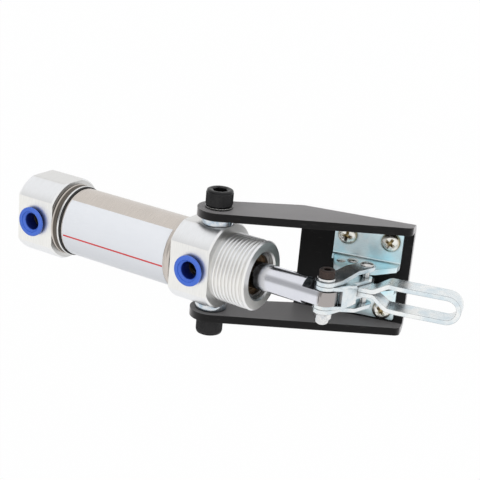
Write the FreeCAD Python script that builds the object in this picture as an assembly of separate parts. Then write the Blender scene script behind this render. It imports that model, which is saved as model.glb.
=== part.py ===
import FreeCAD, Part
import math
import os

from FreeCAD import Placement, Rotation, Vector

# Air-driven hold-down clamp: a small toggle clamp with a U-shaped arm stands on the web
# of a folded bracket, and a cylinder rocking between the bracket's arms works its handle.
# Frame: +X towards the tip of the clamping arm, +Y to the side of the bolt heads, +Z up,
# origin in the middle of the underside of the bracket's web. Millimetres.

# Folded bracket
SHEET = 3.0
BRACKET_WIDTH = 42.0
WEB_LENGTH = 42.0
BEND_INSIDE = 1.0
ARM_FRONT_HEIGHT = 8.3
ARM_END_RADIUS = 7.8
ARM_REAR_STEP = 3.5
ARM_CORNER = 2.5

# Pivots in side view, as distance along X and height
TRUNNION = (-47.5, 23.4)
ROD_PIN = (-2.9, 34.8)
BAR_PIVOT = (1.0, 9.8)
HANDLE_PIVOT = (7.8, 18.2)
LINK_PIVOT = (-3.0, 12.0)
LINK_LENGTH = 5.73

# Fits
RUNNING_GAP = 0.05
SIDE_GAP = 0.15
TRUNNION_SIDE_GAP = 0.05

# Clamp base: two folded plates
BASE_PLATE = 2.0
BASE_BEND = 0.8
CHEEK_INNER = 3.35
FLANGE_SIDE_ROOM = 1.2
FLANGE_REAR = -7.8
FLANGE_FRONT = 17.6
CHEEK_REAR_ANGLE = 127.0
CHEEK_FRONT_ANGLE = 60.0
CHEEK_TOP_RADIUS = 9.0
CHEEK_SHOULDER = (10.7, 15.0)
CHEEK_NOSE = (17.2, 8.6)
CHEEK_NOSE_RADIUS = 1.4
BASE_SCREW_PITCH_X = 16.0
BASE_SCREW_FROM_ARM = 4.7
BASE_SCREW_MIDDLE_X = 5.05

# Screws and rivets
BASE_SCREW_RADIUS = 2.0
BASE_SCREW_HEAD_RADIUS = 3.5
BASE_SCREW_HEAD = 2.3
PAN_EDGE = 1.1
RECESS_ARM = 2.0
RECESS_WIDTH = 0.8
RECESS_DEPTH = 1.3
RIVET_RADIUS = 1.2
RIVET_HEAD_RADIUS = 2.1
RIVET_HEAD = 0.75
RIVET_CROWN = 0.8
LINK_RIVET_HEAD_RADIUS = 1.7
LINK_RIVET_HEAD = 0.4
HANDLE_RIVET_HEAD_RADIUS = 2.4
HANDLE_RIVET_HEAD = 1.0
HANDLE_BOLT_RADIUS = 1.5
HANDLE_BOLT_HEAD_RADIUS = 2.75
HANDLE_BOLT_HEAD = 3.0
HANDLE_BOLT_SOCKET = 2.5
HANDLE_NUT_ACROSS = 5.5
HANDLE_NUT_HEX = 2.3
HANDLE_NUT_DOME = 2.3
HANDLE_WASHER = 0.5
HANDLE_HEAD_WASHER = 1.0
HANDLE_WASHER_RADIUS = 3.2
TRUNNION_RADIUS = 3.0
TRUNNION_HEAD_RADIUS = 5.0
TRUNNION_HEAD = 6.0
TRUNNION_SOCKET = 5.0
SPRING_WASHER = 0.9
SPRING_WASHER_RADIUS = 5.1
SPRING_WASHER_SLIT = 0.9
SPRING_WASHER_TURN = 65.0
SPACER_RADIUS = 6.0
SPACER = 2.7
TRUNNION_GRIP = 5.2
HEAD_CHAMFER = 0.35

# Clamping arm, one strip folded to a U
STRIP = 1.65
STRIP_GAP = 0.05
ARM_HALF_WIDTH = 5.25
ARM_TIP = 43.6
ARM_TOP = 27.4
ARM_BOTTOM = 19.5
ARM_TIP_RISE = 0.9
NECK_TOP = 25.7
NECK_FRONT = 12.0
NECK_RISE = 9.0
NECK_CORNER = 1.5
DOGLEG_LENGTH = 5.3
CRANK_KNEE = (10.2, 13.7)
CRANK_HEEL = (7.2, 10.6)
CRANK_FOOT = (2.2, 7.95)
BEND_SOFTEN = 2.6
BAR_EYE = 2.2
HANDLE_EYE = 2.4

# Handle: folded channel with a plate on each side
CHANNEL_WALL = 1.4
CHANNEL_WEB = 1.5
CHANNEL_WEB_START = 2.85
CHANNEL_WEB_END = 10.0
CHANNEL_FRONT = 5.7
CHANNEL_BEND = 1.1
CHANNEL_NARROW_FROM = 6.0
CHANNEL_NARROW_TO = 14.0
ROD_EYE = 3.9
TONGUE_EYE = 2.4
CHANNEL_WAIST = (11.3, 2.8)
TONGUE_CORNER = (15.8, 2.6)
PLATE = 1.6
PLATE_LOWER_EYE = 3.1
PLATE_FLARE_FROM = 4.6
PLATE_FLARE_TO = 12.6
PLATE_RIVET_GAP = 0.2

# Link between base and handle
LINK_THICKNESS = 3.3
LINK_EYE = 2.05
LINK_WAIST = 1.4
LINK_SLOT_RISE = 1.75
LINK_SLOT_SIDE = 0.3

# Piston rod
ROD_RADIUS = 5.0
TANG_HALF = 2.6
TANG_START = 7.0
TANG_TIP = 4.6
TANG_SLOT_RISE = 1.7
TANG_SLOT_SIDE = 0.65
ROD_TAPER = 0.8
ROD_TAIL = 2.0

# Cylinder, along its axis from the trunnion
HEAD_RADIUS = 16.2
HEAD_FLAT_PORT = 13.4
HEAD_FRONT = 6.0
HEAD_REAR = -11.0
HEAD_EDGE = 0.6
HEAD_END_ROUND = 1.6
NOSE_RADIUS = 13.0
NOSE_FRONT = 20.5
THREAD_PITCH = 1.5
THREAD_DEPTH = 0.55
THREAD_FLANK = 0.6
THREAD_START = 1.4
NOSE_LIP = 1.5
RECESS_RADIUS = 8.75
RECESS = 3.2
BUSH_LENGTH = 8.5
BUSH_STEP = 1.4
SEAL_LENGTH = 5.0
SEAL_RADIUS = 7.5
SEAL_LIP = 2.2
AIR_GAP = 1.4
SPIGOT = 6.0
BARREL_OUTER = 13.25
BARREL_WALL = 0.7
PORT_FRONT = -1.7
PORT_REAR = -75.5
REAR_HEAD_FRONT = -66.3
REAR_HEAD_BACK = -84.0
REAR_WALL = 4.0
CRIMP_RADIUS = 14.6
CRIMP_LENGTH = 1.5
CRIMP_EDGE = 0.35
BEAD_LENGTH = 2.3
BEAD_HEIGHT = 0.5
BAND_RADIUS = 13.75
BAND_LENGTH = 0.9
BAND_GAP = 1.3
PISTON_LENGTH = 14.0
END_CUSHION = 1.5
PISTON_SEAL_WIDTH = 2.2
PISTON_SEAL_DEPTH = 2.4
WEAR_RING_WIDTH = 3.0
WEAR_RING_DEPTH = 1.2
CIRCLIP = 1.2
CIRCLIP_BITE = 0.7
CIRCLIP_BAND = 1.3
CIRCLIP_OPENING = 46.0
CIRCLIP_TURN = 52.0
CIRCLIP_LUG = 1.45
CIRCLIP_LUG_HOLE = 0.6

# Push-in fittings for 6 mm tube
TUBE_RADIUS = 3.0
TUBE_GAP = 0.05
COLLET_WALL = 0.85
COLLET_FLANGE_RADIUS = 5.75
COLLET_FLANGE = 1.2
COLLET_TRAVEL = 0.8
COLLET_LENGTH = 6.0
COLLET_BEVEL = 0.4
FITTING_DEPTH = 7.2
FITTING_WALL = 1.1
TUBE_SEAL = 1.2
GRIP_RING = 0.3
GRIP_TEETH = 8

# Values that follow from the sizes above
HALF_WIDTH = BRACKET_WIDTH / 2
ARM_FACE = HALF_WIDTH - SHEET
WEB_FRONT = WEB_LENGTH / 2
CHEEK_OUTER = CHEEK_INNER + BASE_PLATE
FLANGE_WIDTH = ARM_FACE - FLANGE_SIDE_ROOM - CHEEK_INNER
BASE_SCREW_PITCH_Y = 2 * (ARM_FACE - BASE_SCREW_FROM_ARM)
HEAD_FLAT_SIDE = ARM_FACE - TRUNNION_SIDE_GAP - SPACER
FLANGE_TOP = SHEET + BASE_PLATE
CHANNEL_INNER_TOP = TANG_HALF + RUNNING_GAP + SIDE_GAP
CHANNEL_OUTER_TOP = CHANNEL_INNER_TOP + CHANNEL_WALL
CHANNEL_OUTER_LOW = CHEEK_INNER - SIDE_GAP
CHANNEL_INNER_LOW = CHANNEL_OUTER_LOW - CHANNEL_WALL
PLATE_INNER_TOP = CHANNEL_OUTER_TOP + RUNNING_GAP
PLATE_OUTER_TOP = PLATE_INNER_TOP + PLATE
PLATE_INNER_LOW = CHEEK_OUTER + RIVET_HEAD + PLATE_RIVET_GAP
PLATE_OUTER_LOW = PLATE_INNER_LOW + PLATE
STRIP_OUTER = STRIP_GAP + STRIP
ARM_CENTRE = ARM_TIP - ARM_HALF_WIDTH
BARREL_INNER = BARREL_OUTER - BARREL_WALL
SPIGOT_RADIUS = BARREL_INNER - RUNNING_GAP
FRONT_CHAMBER = HEAD_REAR - SPIGOT
PISTON_FRONT = FRONT_CHAMBER - END_CUSHION
BIG = 200.0
NEAR = 0.01


def minus(a, b):
    """Difference of two side-view points."""
    return (a[0] - b[0], a[1] - b[1])


def distance(a, b):
    """Distance between two side-view points."""
    return math.hypot(a[0] - b[0], a[1] - b[1])


def point_towards(a, b, length):
    """Side-view point at a length from a on the line towards b."""
    reach = distance(a, b)
    return (a[0] + (b[0] - a[0]) * length / reach, a[1] + (b[1] - a[1]) * length / reach)


LINK_PIN = point_towards(LINK_PIVOT, HANDLE_PIVOT, LINK_LENGTH)
HANDLE_LENGTH = distance(ROD_PIN, HANDLE_PIVOT)
ROD_REACH = distance(TRUNNION, ROD_PIN)
HANDLE_TURN = -math.degrees(math.atan2(HANDLE_PIVOT[1] - ROD_PIN[1], HANDLE_PIVOT[0] - ROD_PIN[0]))
AXIS_TURN = -math.degrees(math.atan2(ROD_PIN[1] - TRUNNION[1], ROD_PIN[0] - TRUNNION[0]))


def at(point, y=0.0):
    """Space point of a side-view point."""
    return Vector(point[0], y, point[1])


def face_of(edges):
    """Flat face inside a closed row of edges."""
    return Part.Face(Part.Wire(edges))


def polygon(points):
    """Flat face inside a closed row of space points."""
    return Part.Face(Part.makePolygon(points + [points[0]]))


def side_polygon(points, y_low, y_high):
    """Side-view outline raised from one side to the other."""
    face = polygon([at(point, y_low) for point in points])
    return face.extrude(Vector(0, y_high - y_low, 0))


def plan_polygon(points, z_low, z_high):
    """Outline in plan raised between two heights."""
    face = polygon([Vector(x, y, z_low) for x, y in points])
    return face.extrude(Vector(0, 0, z_high - z_low))


def cross_rod(point, radius, y_low, y_high):
    """Round bar across the clamp at a side-view point."""
    return Part.makeCylinder(radius, y_high - y_low, at(point, y_low), Vector(0, 1, 0))


def belt(a, radius_a, b, radius_b, y_low, y_high):
    """Plate whose outline runs round two circles, as a belt does."""
    reach = distance(a, b)
    heading = math.atan2(b[1] - a[1], b[0] - a[0])
    lean = math.acos((radius_a - radius_b) / reach)

    def rim(centre, radius, angle):
        return Vector(centre[0] + radius * math.cos(angle), y_low, centre[1] + radius * math.sin(angle))

    a_up, a_back, a_down = (rim(a, radius_a, heading + turn) for turn in (lean, math.pi, -lean))
    b_up, b_tip, b_down = (rim(b, radius_b, heading + turn) for turn in (lean, 0.0, -lean))
    edges = [
        Part.Arc(a_up, a_back, a_down).toShape(),
        Part.LineSegment(a_down, b_down).toShape(),
        Part.Arc(b_down, b_tip, b_up).toShape(),
        Part.LineSegment(b_up, a_up).toShape(),
    ]
    return face_of(edges).extrude(Vector(0, y_high - y_low, 0))


def ring(outer, inner, length, start, axis):
    """Plain ring along an axis."""
    body = Part.makeCylinder(outer, length, start, axis)
    return body.cut(Part.makeCylinder(inner, length, start, axis))


def turned(profile):
    """Solid turned round the X axis from points given as (along, radius)."""
    face = polygon([Vector(along, 0, radius) for along, radius in profile])
    return face.revolve(Vector(0, 0, 0), Vector(1, 0, 0), 360)


def one_solid(shape):
    """Shape without the seams that joining leaves."""
    return shape.removeSplitter()


def mirrored(shape):
    """Copy on the other side of the clamp's middle plane."""
    return shape.mirror(Vector(0, 0, 0), Vector(0, 1, 0))


def on_cylinder_axis(shape):
    """Moves a piece drawn along +X from the origin to the cylinder's place."""
    placed = shape.copy()
    tilt = Placement(at(TRUNNION), Rotation(Vector(0, 1, 0), AXIS_TURN))
    placed.Placement = tilt.multiply(placed.Placement)
    return placed


def on_handle_line(shape):
    """Moves a piece drawn along +X from the rod pin to the handle's place."""
    placed = shape.copy()
    lean = Placement(at(ROD_PIN), Rotation(Vector(0, 1, 0), HANDLE_TURN))
    placed.Placement = lean.multiply(placed.Placement)
    return placed


def in_handle_line(point):
    """Side-view point as seen in the handle's own frame."""
    turn = math.radians(HANDLE_TURN)
    x, z = minus(point, ROD_PIN)
    return (x * math.cos(turn) - z * math.sin(turn), x * math.sin(turn) + z * math.cos(turn))


def tangent_height(centre, radius, point, side):
    """Touching point on a circle of a line from an outside point, above (+1) or below (-1)."""
    reach = distance(centre, point)
    heading = math.atan2(point[1] - centre[1], point[0] - centre[0])
    lean = side * math.acos(radius / reach)
    return (centre[0] + radius * math.cos(heading + lean), centre[1] + radius * math.sin(heading + lean))


def arm_outline():
    """Side view of a bracket arm: front corner, sloping top, round rear end, slanting underside."""
    front_top = (WEB_FRONT, ARM_FRONT_HEIGHT)
    rear_foot = (-WEB_FRONT, 0.0)
    upper = tangent_height(TRUNNION, ARM_END_RADIUS, front_top, 1)
    rear_step = (-WEB_FRONT, ARM_REAR_STEP)
    lower = tangent_height(TRUNNION, ARM_END_RADIUS, rear_step, -1)
    rear = (TRUNNION[0] - ARM_END_RADIUS, TRUNNION[1])
    side = -HALF_WIDTH
    edges = [
        Part.LineSegment(at(rear_foot, side), at((WEB_FRONT, 0.0), side)).toShape(),
        Part.LineSegment(at((WEB_FRONT, 0.0), side), at(front_top, side)).toShape(),
        Part.LineSegment(at(front_top, side), at(upper, side)).toShape(),
        Part.Arc(at(upper, side), at(rear, side), at(lower, side)).toShape(),
        Part.LineSegment(at(lower, side), at(rear_step, side)).toShape(),
        Part.LineSegment(at(rear_step, side), at(rear_foot, side)).toShape(),
    ]
    return face_of(edges).extrude(Vector(0, BRACKET_WIDTH, 0))


def edges_at(shape, test):
    """Edges of a shape whose middle and direction pass a test."""
    chosen = []
    for edge in shape.Edges:
        middle = edge.valueAt((edge.FirstParameter + edge.LastParameter) / 2)
        if test(edge, middle):
            chosen.append(edge)
    return chosen


def bracket():
    """Black bracket, one folded sheet: a web with an arm standing on each side."""
    length = WEB_FRONT - TRUNNION[0] + 2 * ARM_END_RADIUS
    height = TRUNNION[1] + 2 * ARM_END_RADIUS
    start = WEB_FRONT - length
    outer = Part.makeBox(length, BRACKET_WIDTH, height, Vector(start, -HALF_WIDTH, 0))
    outer_folds = edges_at(outer, lambda edge, mid: abs(mid.z) < NEAR
                           and abs(abs(mid.y) - HALF_WIDTH) < NEAR)
    outer = outer.makeFillet(BEND_INSIDE + SHEET, outer_folds)
    inner = Part.makeBox(length, 2 * ARM_FACE, height, Vector(start, -ARM_FACE, SHEET))
    inner_folds = edges_at(inner, lambda edge, mid: abs(mid.z - SHEET) < NEAR
                           and abs(abs(mid.y) - ARM_FACE) < NEAR)
    inner = inner.makeFillet(BEND_INSIDE, inner_folds)
    behind_web = Part.makeBox(length, 2 * ARM_FACE, height, Vector(-WEB_FRONT - length, -ARM_FACE, 0))
    body = outer.cut(inner).cut(behind_web)
    shape = arm_outline()
    corners = edges_at(shape, lambda edge, mid: abs(mid.x - WEB_FRONT) < NEAR
                       and abs(mid.z - ARM_FRONT_HEIGHT) < NEAR)
    body = body.common(shape.makeFillet(ARM_CORNER, corners))
    body = body.cut(cross_rod(TRUNNION, TRUNNION_RADIUS + RUNNING_GAP, -HALF_WIDTH, HALF_WIDTH))
    for place in base_screw_places():
        body = body.cut(Part.makeCylinder(BASE_SCREW_RADIUS, SHEET, place))
    return one_solid(body)


def base_screw_places():
    """Feet of the four screws that hold the clamp base down."""
    return [
        Vector(BASE_SCREW_MIDDLE_X + i * BASE_SCREW_PITCH_X / 2, j * BASE_SCREW_PITCH_Y / 2, 0)
        for i in (-1, 1)
        for j in (-1, 1)
    ]


def cheek_outline():
    """Side view of a cheek: leaning rear edge, top turned round the bar pivot, shoulder and nose."""
    rear_top_angle = math.radians(CHEEK_REAR_ANGLE)
    front_angle = math.radians(CHEEK_FRONT_ANGLE)

    def rim(angle):
        x = BAR_PIVOT[0] + CHEEK_TOP_RADIUS * math.cos(angle)
        z = BAR_PIVOT[1] + CHEEK_TOP_RADIUS * math.sin(angle)
        return Vector(x, 0, z)

    rear_foot = Vector(FLANGE_REAR, 0, SHEET)
    front_foot = Vector(FLANGE_FRONT, 0, SHEET)
    nose = at(CHEEK_NOSE)
    shoulder = at(CHEEK_SHOULDER)
    rear_top = rim(rear_top_angle)
    front_top = rim(front_angle)
    top = rim((rear_top_angle + front_angle) / 2)
    return face_of([
        Part.LineSegment(rear_foot, rear_top).toShape(),
        Part.Arc(rear_top, top, front_top).toShape(),
        Part.LineSegment(front_top, shoulder).toShape(),
        Part.LineSegment(shoulder, nose).toShape(),
        Part.LineSegment(nose, front_foot).toShape(),
        Part.LineSegment(front_foot, rear_foot).toShape(),
    ])


def base_plate():
    """Zinc-plated plate on the +Y side: an upright cheek folded to a flange with two screw holes."""
    length = FLANGE_FRONT - FLANGE_REAR
    height = HANDLE_PIVOT[1]
    outer = Part.makeBox(length, FLANGE_WIDTH, height, Vector(FLANGE_REAR, CHEEK_INNER, SHEET))
    heel = edges_at(outer, lambda edge, mid: abs(mid.z - SHEET) < NEAR
                    and abs(mid.y - CHEEK_INNER) < NEAR)
    outer = outer.makeFillet(BASE_BEND + BASE_PLATE, heel)
    inner = Part.makeBox(length, FLANGE_WIDTH, height, Vector(FLANGE_REAR, CHEEK_OUTER, FLANGE_TOP))
    fold = edges_at(inner, lambda edge, mid: abs(mid.z - FLANGE_TOP) < NEAR
                    and abs(mid.y - CHEEK_OUTER) < NEAR)
    inner = inner.makeFillet(BASE_BEND, fold)
    folded = outer.cut(inner)
    cheek = cheek_outline()
    cheek.translate(Vector(0, CHEEK_INNER, 0))
    upright = cheek.extrude(Vector(0, BASE_PLATE + BASE_BEND, 0))
    nose_edge = edges_at(upright, lambda edge, mid: abs(mid.x - CHEEK_NOSE[0]) < NEAR
                         and abs(mid.z - CHEEK_NOSE[1]) < NEAR)
    upright = upright.makeFillet(CHEEK_NOSE_RADIUS, nose_edge)
    low = Part.makeBox(length, FLANGE_WIDTH, BASE_PLATE + BASE_BEND,
                       Vector(FLANGE_REAR, CHEEK_INNER, SHEET))
    plate = folded.common(upright.fuse(low))
    for pivot in (BAR_PIVOT, LINK_PIVOT):
        plate = plate.cut(cross_rod(pivot, RIVET_RADIUS + RUNNING_GAP, CHEEK_INNER, CHEEK_OUTER))
    for place in base_screw_places():
        if place.y > 0:
            hole = Part.makeCylinder(BASE_SCREW_RADIUS + 2 * SIDE_GAP, FLANGE_TOP, place)
            plate = plate.cut(hole)
    corners = edges_at(
        plate, lambda edge, mid: abs(mid.y - CHEEK_INNER - FLANGE_WIDTH) < NEAR
        and abs(edge.Length - BASE_PLATE) < NEAR
    )
    return one_solid(plate.makeFillet(BASE_BEND, corners))


def pan_head_screw():
    """Pan-head screw with a cross recess, its head's underside at z = 0."""
    head = Part.makeCylinder(BASE_SCREW_HEAD_RADIUS, BASE_SCREW_HEAD)
    rim = edges_at(head, lambda edge, mid: edge.Closed and abs(mid.z - BASE_SCREW_HEAD) < NEAR)
    head = head.makeFillet(PAN_EDGE, rim)
    shank_length = FLANGE_TOP - SIDE_GAP
    shank = Part.makeCylinder(BASE_SCREW_RADIUS - RUNNING_GAP, shank_length, Vector(0, 0, -shank_length))
    screw = head.fuse(shank)
    floor = BASE_SCREW_HEAD - RECESS_DEPTH
    for turn in (45, 135):
        slot = Part.makeBox(
            2 * RECESS_ARM, RECESS_WIDTH, RECESS_DEPTH, Vector(-RECESS_ARM, -RECESS_WIDTH / 2, floor)
        )
        slot.rotate(Vector(0, 0, 0), Vector(0, 0, 1), turn)
        screw = screw.cut(slot)
    return one_solid(screw)


def rivet(point, half_grip, head_radius, head_height):
    """Pivot rivet across the clamp with a low domed head on both ends."""
    shank = cross_rod(point, RIVET_RADIUS, -half_grip, half_grip)
    head = cross_rod(point, head_radius, half_grip, half_grip + head_height)
    crown = edges_at(head, lambda edge, mid: edge.Closed and abs(mid.y - half_grip - head_height) < NEAR)
    head = head.makeFillet(head_height * RIVET_CROWN, crown)
    return one_solid(shank.fuse(head).fuse(mirrored(head)))


def clamp_bar():
    """U-shaped clamping arm: one strip bent round the tip, drawn together at the neck,
    with the two ends cut as a crank that carries the bar pivot and the handle pivot."""
    slope = math.atan2(ARM_HALF_WIDTH - STRIP_OUTER, DOGLEG_LENGTH)
    inset = STRIP * math.tan(slope / 2)
    rear = BAR_PIVOT[0] - 2 * BAR_EYE
    tip_outer = Vector(ARM_TIP, 0, 0)
    tip_inner = Vector(ARM_TIP - STRIP, 0, 0)
    inner_half = ARM_HALF_WIDTH - STRIP
    outer_line = [(rear, STRIP_OUTER), (NECK_FRONT, STRIP_OUTER),
                  (NECK_FRONT + DOGLEG_LENGTH, ARM_HALF_WIDTH), (ARM_CENTRE, ARM_HALF_WIDTH)]
    inner_line = [(rear, STRIP_GAP), (NECK_FRONT + inset, STRIP_GAP),
                  (NECK_FRONT + DOGLEG_LENGTH + inset, inner_half), (ARM_CENTRE, inner_half)]

    def run(points, side):
        ends = [Vector(x, side * y, 0) for x, y in points]
        return [Part.LineSegment(a, b).toShape() for a, b in zip(ends, ends[1:])]

    arcs = [
        Part.Arc(Vector(ARM_CENTRE, ARM_HALF_WIDTH, 0), tip_outer, Vector(ARM_CENTRE, -ARM_HALF_WIDTH, 0)),
        Part.Arc(Vector(ARM_CENTRE, inner_half, 0), tip_inner, Vector(ARM_CENTRE, -inner_half, 0)),
    ]
    ends = [
        Part.LineSegment(Vector(rear, side * STRIP_GAP, 0), Vector(rear, side * STRIP_OUTER, 0)).toShape()
        for side in (1, -1)
    ]
    edges = [arc.toShape() for arc in arcs] + ends
    for side in (1, -1):
        edges += run(outer_line, side) + run(inner_line, side)
    plan = Part.Face(Part.Wire(Part.__sortEdges__(edges)))
    strip = plan.extrude(Vector(0, 0, ARM_TOP + STRIP))
    knees = edges_at(strip, lambda edge, mid: edge.Length > ARM_TOP
                     and abs(mid.z - (ARM_TOP + STRIP) / 2) < NEAR
                     and NECK_FRONT - NEAR < mid.x < NECK_FRONT + DOGLEG_LENGTH + STRIP)
    strip = strip.makeFillet(BEND_SOFTEN, knees)
    bar = strip.common(bar_side())
    for pivot in (BAR_PIVOT, HANDLE_PIVOT):
        bar = bar.cut(cross_rod(pivot, RIVET_RADIUS + RUNNING_GAP, -ARM_HALF_WIDTH, ARM_HALF_WIDTH))
    return one_solid(bar)


def bar_side():
    """Side view of the clamping arm: slim neck, slightly deeper arm and the crank below the neck."""
    half = ARM_HALF_WIDTH
    crank_front = HANDLE_PIVOT[0] + HANDLE_EYE
    crank_rear = HANDLE_PIVOT[0] - HANDLE_EYE
    arm = side_polygon([
        (crank_rear, NECK_TOP - NECK_CORNER),
        (crank_rear + NECK_CORNER, NECK_TOP),
        (NECK_FRONT, NECK_TOP),
        (NECK_FRONT + NECK_RISE, ARM_TOP),
        (ARM_TIP, ARM_TOP),
        (ARM_TIP, ARM_BOTTOM + ARM_TIP_RISE),
        (NECK_FRONT + NECK_RISE, ARM_BOTTOM),
        (crank_front + NECK_CORNER, ARM_BOTTOM),
        (crank_front, ARM_BOTTOM - NECK_CORNER),
        (crank_rear, HANDLE_PIVOT[1]),
    ], -half, half)
    crank = side_polygon([
        BAR_PIVOT,
        HANDLE_PIVOT,
        (crank_front, HANDLE_PIVOT[1]),
        CRANK_KNEE,
        CRANK_HEEL,
        CRANK_FOOT,
    ], -half, half)
    eyes = cross_rod(BAR_PIVOT, BAR_EYE, -half, half).fuse(cross_rod(HANDLE_PIVOT, HANDLE_EYE, -half, half))
    return arm.fuse(crank).fuse(eyes)


def joggled(points_outer, points_inner, z_low, z_high):
    """Sheet that steps sideways along its length, drawn in plan between two heights."""
    return plan_polygon(points_outer + points_inner[::-1], z_low, z_high)


def handle_channel():
    """Folded channel between the plates: a web in front, walls that close in below to pass
    between the cheeks, and a tongue that takes the link pin in a short slot."""
    pin = in_handle_line(LINK_PIN)
    lower = (HANDLE_LENGTH, 0.0)
    reach = HANDLE_LENGTH + 2 * TONGUE_EYE
    floor = pin[1] - 2 * TONGUE_EYE

    def plan(top_half, low_half):
        return [(-reach, top_half), (CHANNEL_NARROW_FROM, top_half),
                (CHANNEL_NARROW_TO, low_half), (reach, low_half)]

    def both_sides(line):
        return line + [(x, -y) for x, y in line[::-1]]

    outer = plan_polygon(both_sides(plan(CHANNEL_OUTER_TOP, CHANNEL_OUTER_LOW)), floor, CHANNEL_FRONT)
    folds = edges_at(outer, lambda edge, mid: abs(mid.z - CHANNEL_FRONT) < NEAR
                     and abs(mid.y) > CHANNEL_OUTER_LOW - NEAR and abs(mid.x) < reach - NEAR)
    outer = outer.makeFillet(CHANNEL_BEND, folds)
    inner_plan = both_sides(plan(CHANNEL_INNER_TOP, CHANNEL_INNER_LOW))
    inner = plan_polygon(inner_plan, floor, CHANNEL_FRONT - CHANNEL_WEB)
    through = plan_polygon(inner_plan, floor, CHANNEL_FRONT)
    beside_web = Part.makeBox(CHANNEL_WEB_START + reach, 4 * ROD_EYE, BIG,
                              Vector(-reach, -2 * ROD_EYE, floor))
    below_web = Part.makeBox(reach, 4 * ROD_EYE, BIG, Vector(CHANNEL_WEB_END, -2 * ROD_EYE, floor))
    open_ends = through.common(beside_web.fuse(below_web))
    sheet = outer.cut(inner).cut(open_ends)
    half = CHANNEL_OUTER_TOP
    wall = belt((0.0, 0.0), ROD_EYE, pin, TONGUE_EYE, -half, half)
    wall = wall.fuse(belt(lower, HANDLE_EYE, pin, TONGUE_EYE, -half, half))
    wall = wall.fuse(side_polygon([
        (0.0, ROD_EYE),
        (CHANNEL_WEB_START, CHANNEL_FRONT),
        (CHANNEL_WEB_END, CHANNEL_FRONT),
        CHANNEL_WAIST,
        TONGUE_CORNER,
        (HANDLE_LENGTH, HANDLE_EYE),
        lower,
        pin,
        (0.0, 0.0),
    ], -half, half))
    channel = sheet.common(wall)
    channel = channel.cut(cross_rod((0.0, 0.0), HANDLE_BOLT_RADIUS + RUNNING_GAP, -half, half))
    channel = channel.cut(cross_rod(lower, RIVET_RADIUS + RUNNING_GAP, -half, half))
    placed = on_handle_line(channel)
    slot_top = (LINK_PIN[0], LINK_PIN[1] + LINK_SLOT_RISE)
    slot_radius = RIVET_RADIUS + LINK_SLOT_SIDE
    slot = belt(LINK_PIN, slot_radius, slot_top, slot_radius, -half, half)
    return one_solid(placed.cut(slot))


def handle_plate():
    """Outer handle plate on the +Y side, flared outwards below so that it swings past the cheek."""
    reach = HANDLE_LENGTH + 2 * PLATE_LOWER_EYE
    inner = [(-reach, PLATE_INNER_TOP), (PLATE_FLARE_FROM, PLATE_INNER_TOP),
             (PLATE_FLARE_TO, PLATE_INNER_LOW), (reach, PLATE_INNER_LOW)]
    lean = math.atan2(PLATE_INNER_LOW - PLATE_INNER_TOP, PLATE_FLARE_TO - PLATE_FLARE_FROM)
    shift = PLATE * math.tan(lean / 2)
    outer = [(-reach, PLATE_OUTER_TOP), (PLATE_FLARE_FROM - shift, PLATE_OUTER_TOP),
             (PLATE_FLARE_TO - shift, PLATE_OUTER_LOW), (reach, PLATE_OUTER_LOW)]
    sheet = joggled(outer, inner, -reach, reach)
    outline = belt((0.0, 0.0), ROD_EYE, (HANDLE_LENGTH, 0.0), PLATE_LOWER_EYE, 0.0, 2 * PLATE_OUTER_LOW)
    plate = sheet.common(outline)
    plate = plate.cut(cross_rod((0.0, 0.0), HANDLE_BOLT_RADIUS + RUNNING_GAP, 0.0, 2 * PLATE_OUTER_LOW))
    hole = cross_rod((HANDLE_LENGTH, 0.0), RIVET_RADIUS + RUNNING_GAP, 0.0, 2 * PLATE_OUTER_LOW)
    return one_solid(on_handle_line(plate.cut(hole)))


def hex_prism(across, length):
    """Hexagonal bar along +Z from the origin."""
    corner = across / math.sqrt(3)
    turns = [math.radians(60 * i) for i in range(6)]
    points = [(corner * math.cos(turn), corner * math.sin(turn)) for turn in turns]
    return plan_polygon(points, 0.0, length)


def socket_screw(radius, head_radius, head, socket, shank):
    """Socket-head screw along +Z, its head's underside at z = 0."""
    cap = Part.makeCylinder(head_radius, head)
    rim = edges_at(cap, lambda edge, mid: edge.Closed and abs(mid.z - head) < NEAR)
    cap = cap.makeChamfer(HEAD_CHAMFER, rim)
    screw = cap.fuse(Part.makeCylinder(radius, shank, Vector(0, 0, -shank)))
    pocket = hex_prism(socket, head)
    pocket.translate(Vector(0, 0, head / 2))
    return one_solid(screw.cut(pocket))


def across_clamp(shape, point, y):
    """Turns a piece drawn along +Z so that it points to +Y at a side-view point."""
    placed = shape.copy()
    placed.Placement = Placement(at(point, y), Rotation(Vector(1, 0, 0), -90)).multiply(placed.Placement)
    return placed


def handle_bolt():
    """Socket-head bolt that joins the piston rod to the handle."""
    seat = PLATE_OUTER_TOP + HANDLE_HEAD_WASHER
    grip = seat + PLATE_OUTER_TOP + HANDLE_WASHER + HANDLE_NUT_HEX
    bolt = socket_screw(HANDLE_BOLT_RADIUS, HANDLE_BOLT_HEAD_RADIUS, HANDLE_BOLT_HEAD,
                        HANDLE_BOLT_SOCKET, grip)
    return across_clamp(bolt, ROD_PIN, seat)


def handle_washer(thickness, start):
    """Flat washer on the handle bolt."""
    return ring(HANDLE_WASHER_RADIUS, HANDLE_BOLT_RADIUS + RUNNING_GAP, thickness,
                at(ROD_PIN, start), Vector(0, 1, 0))


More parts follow.
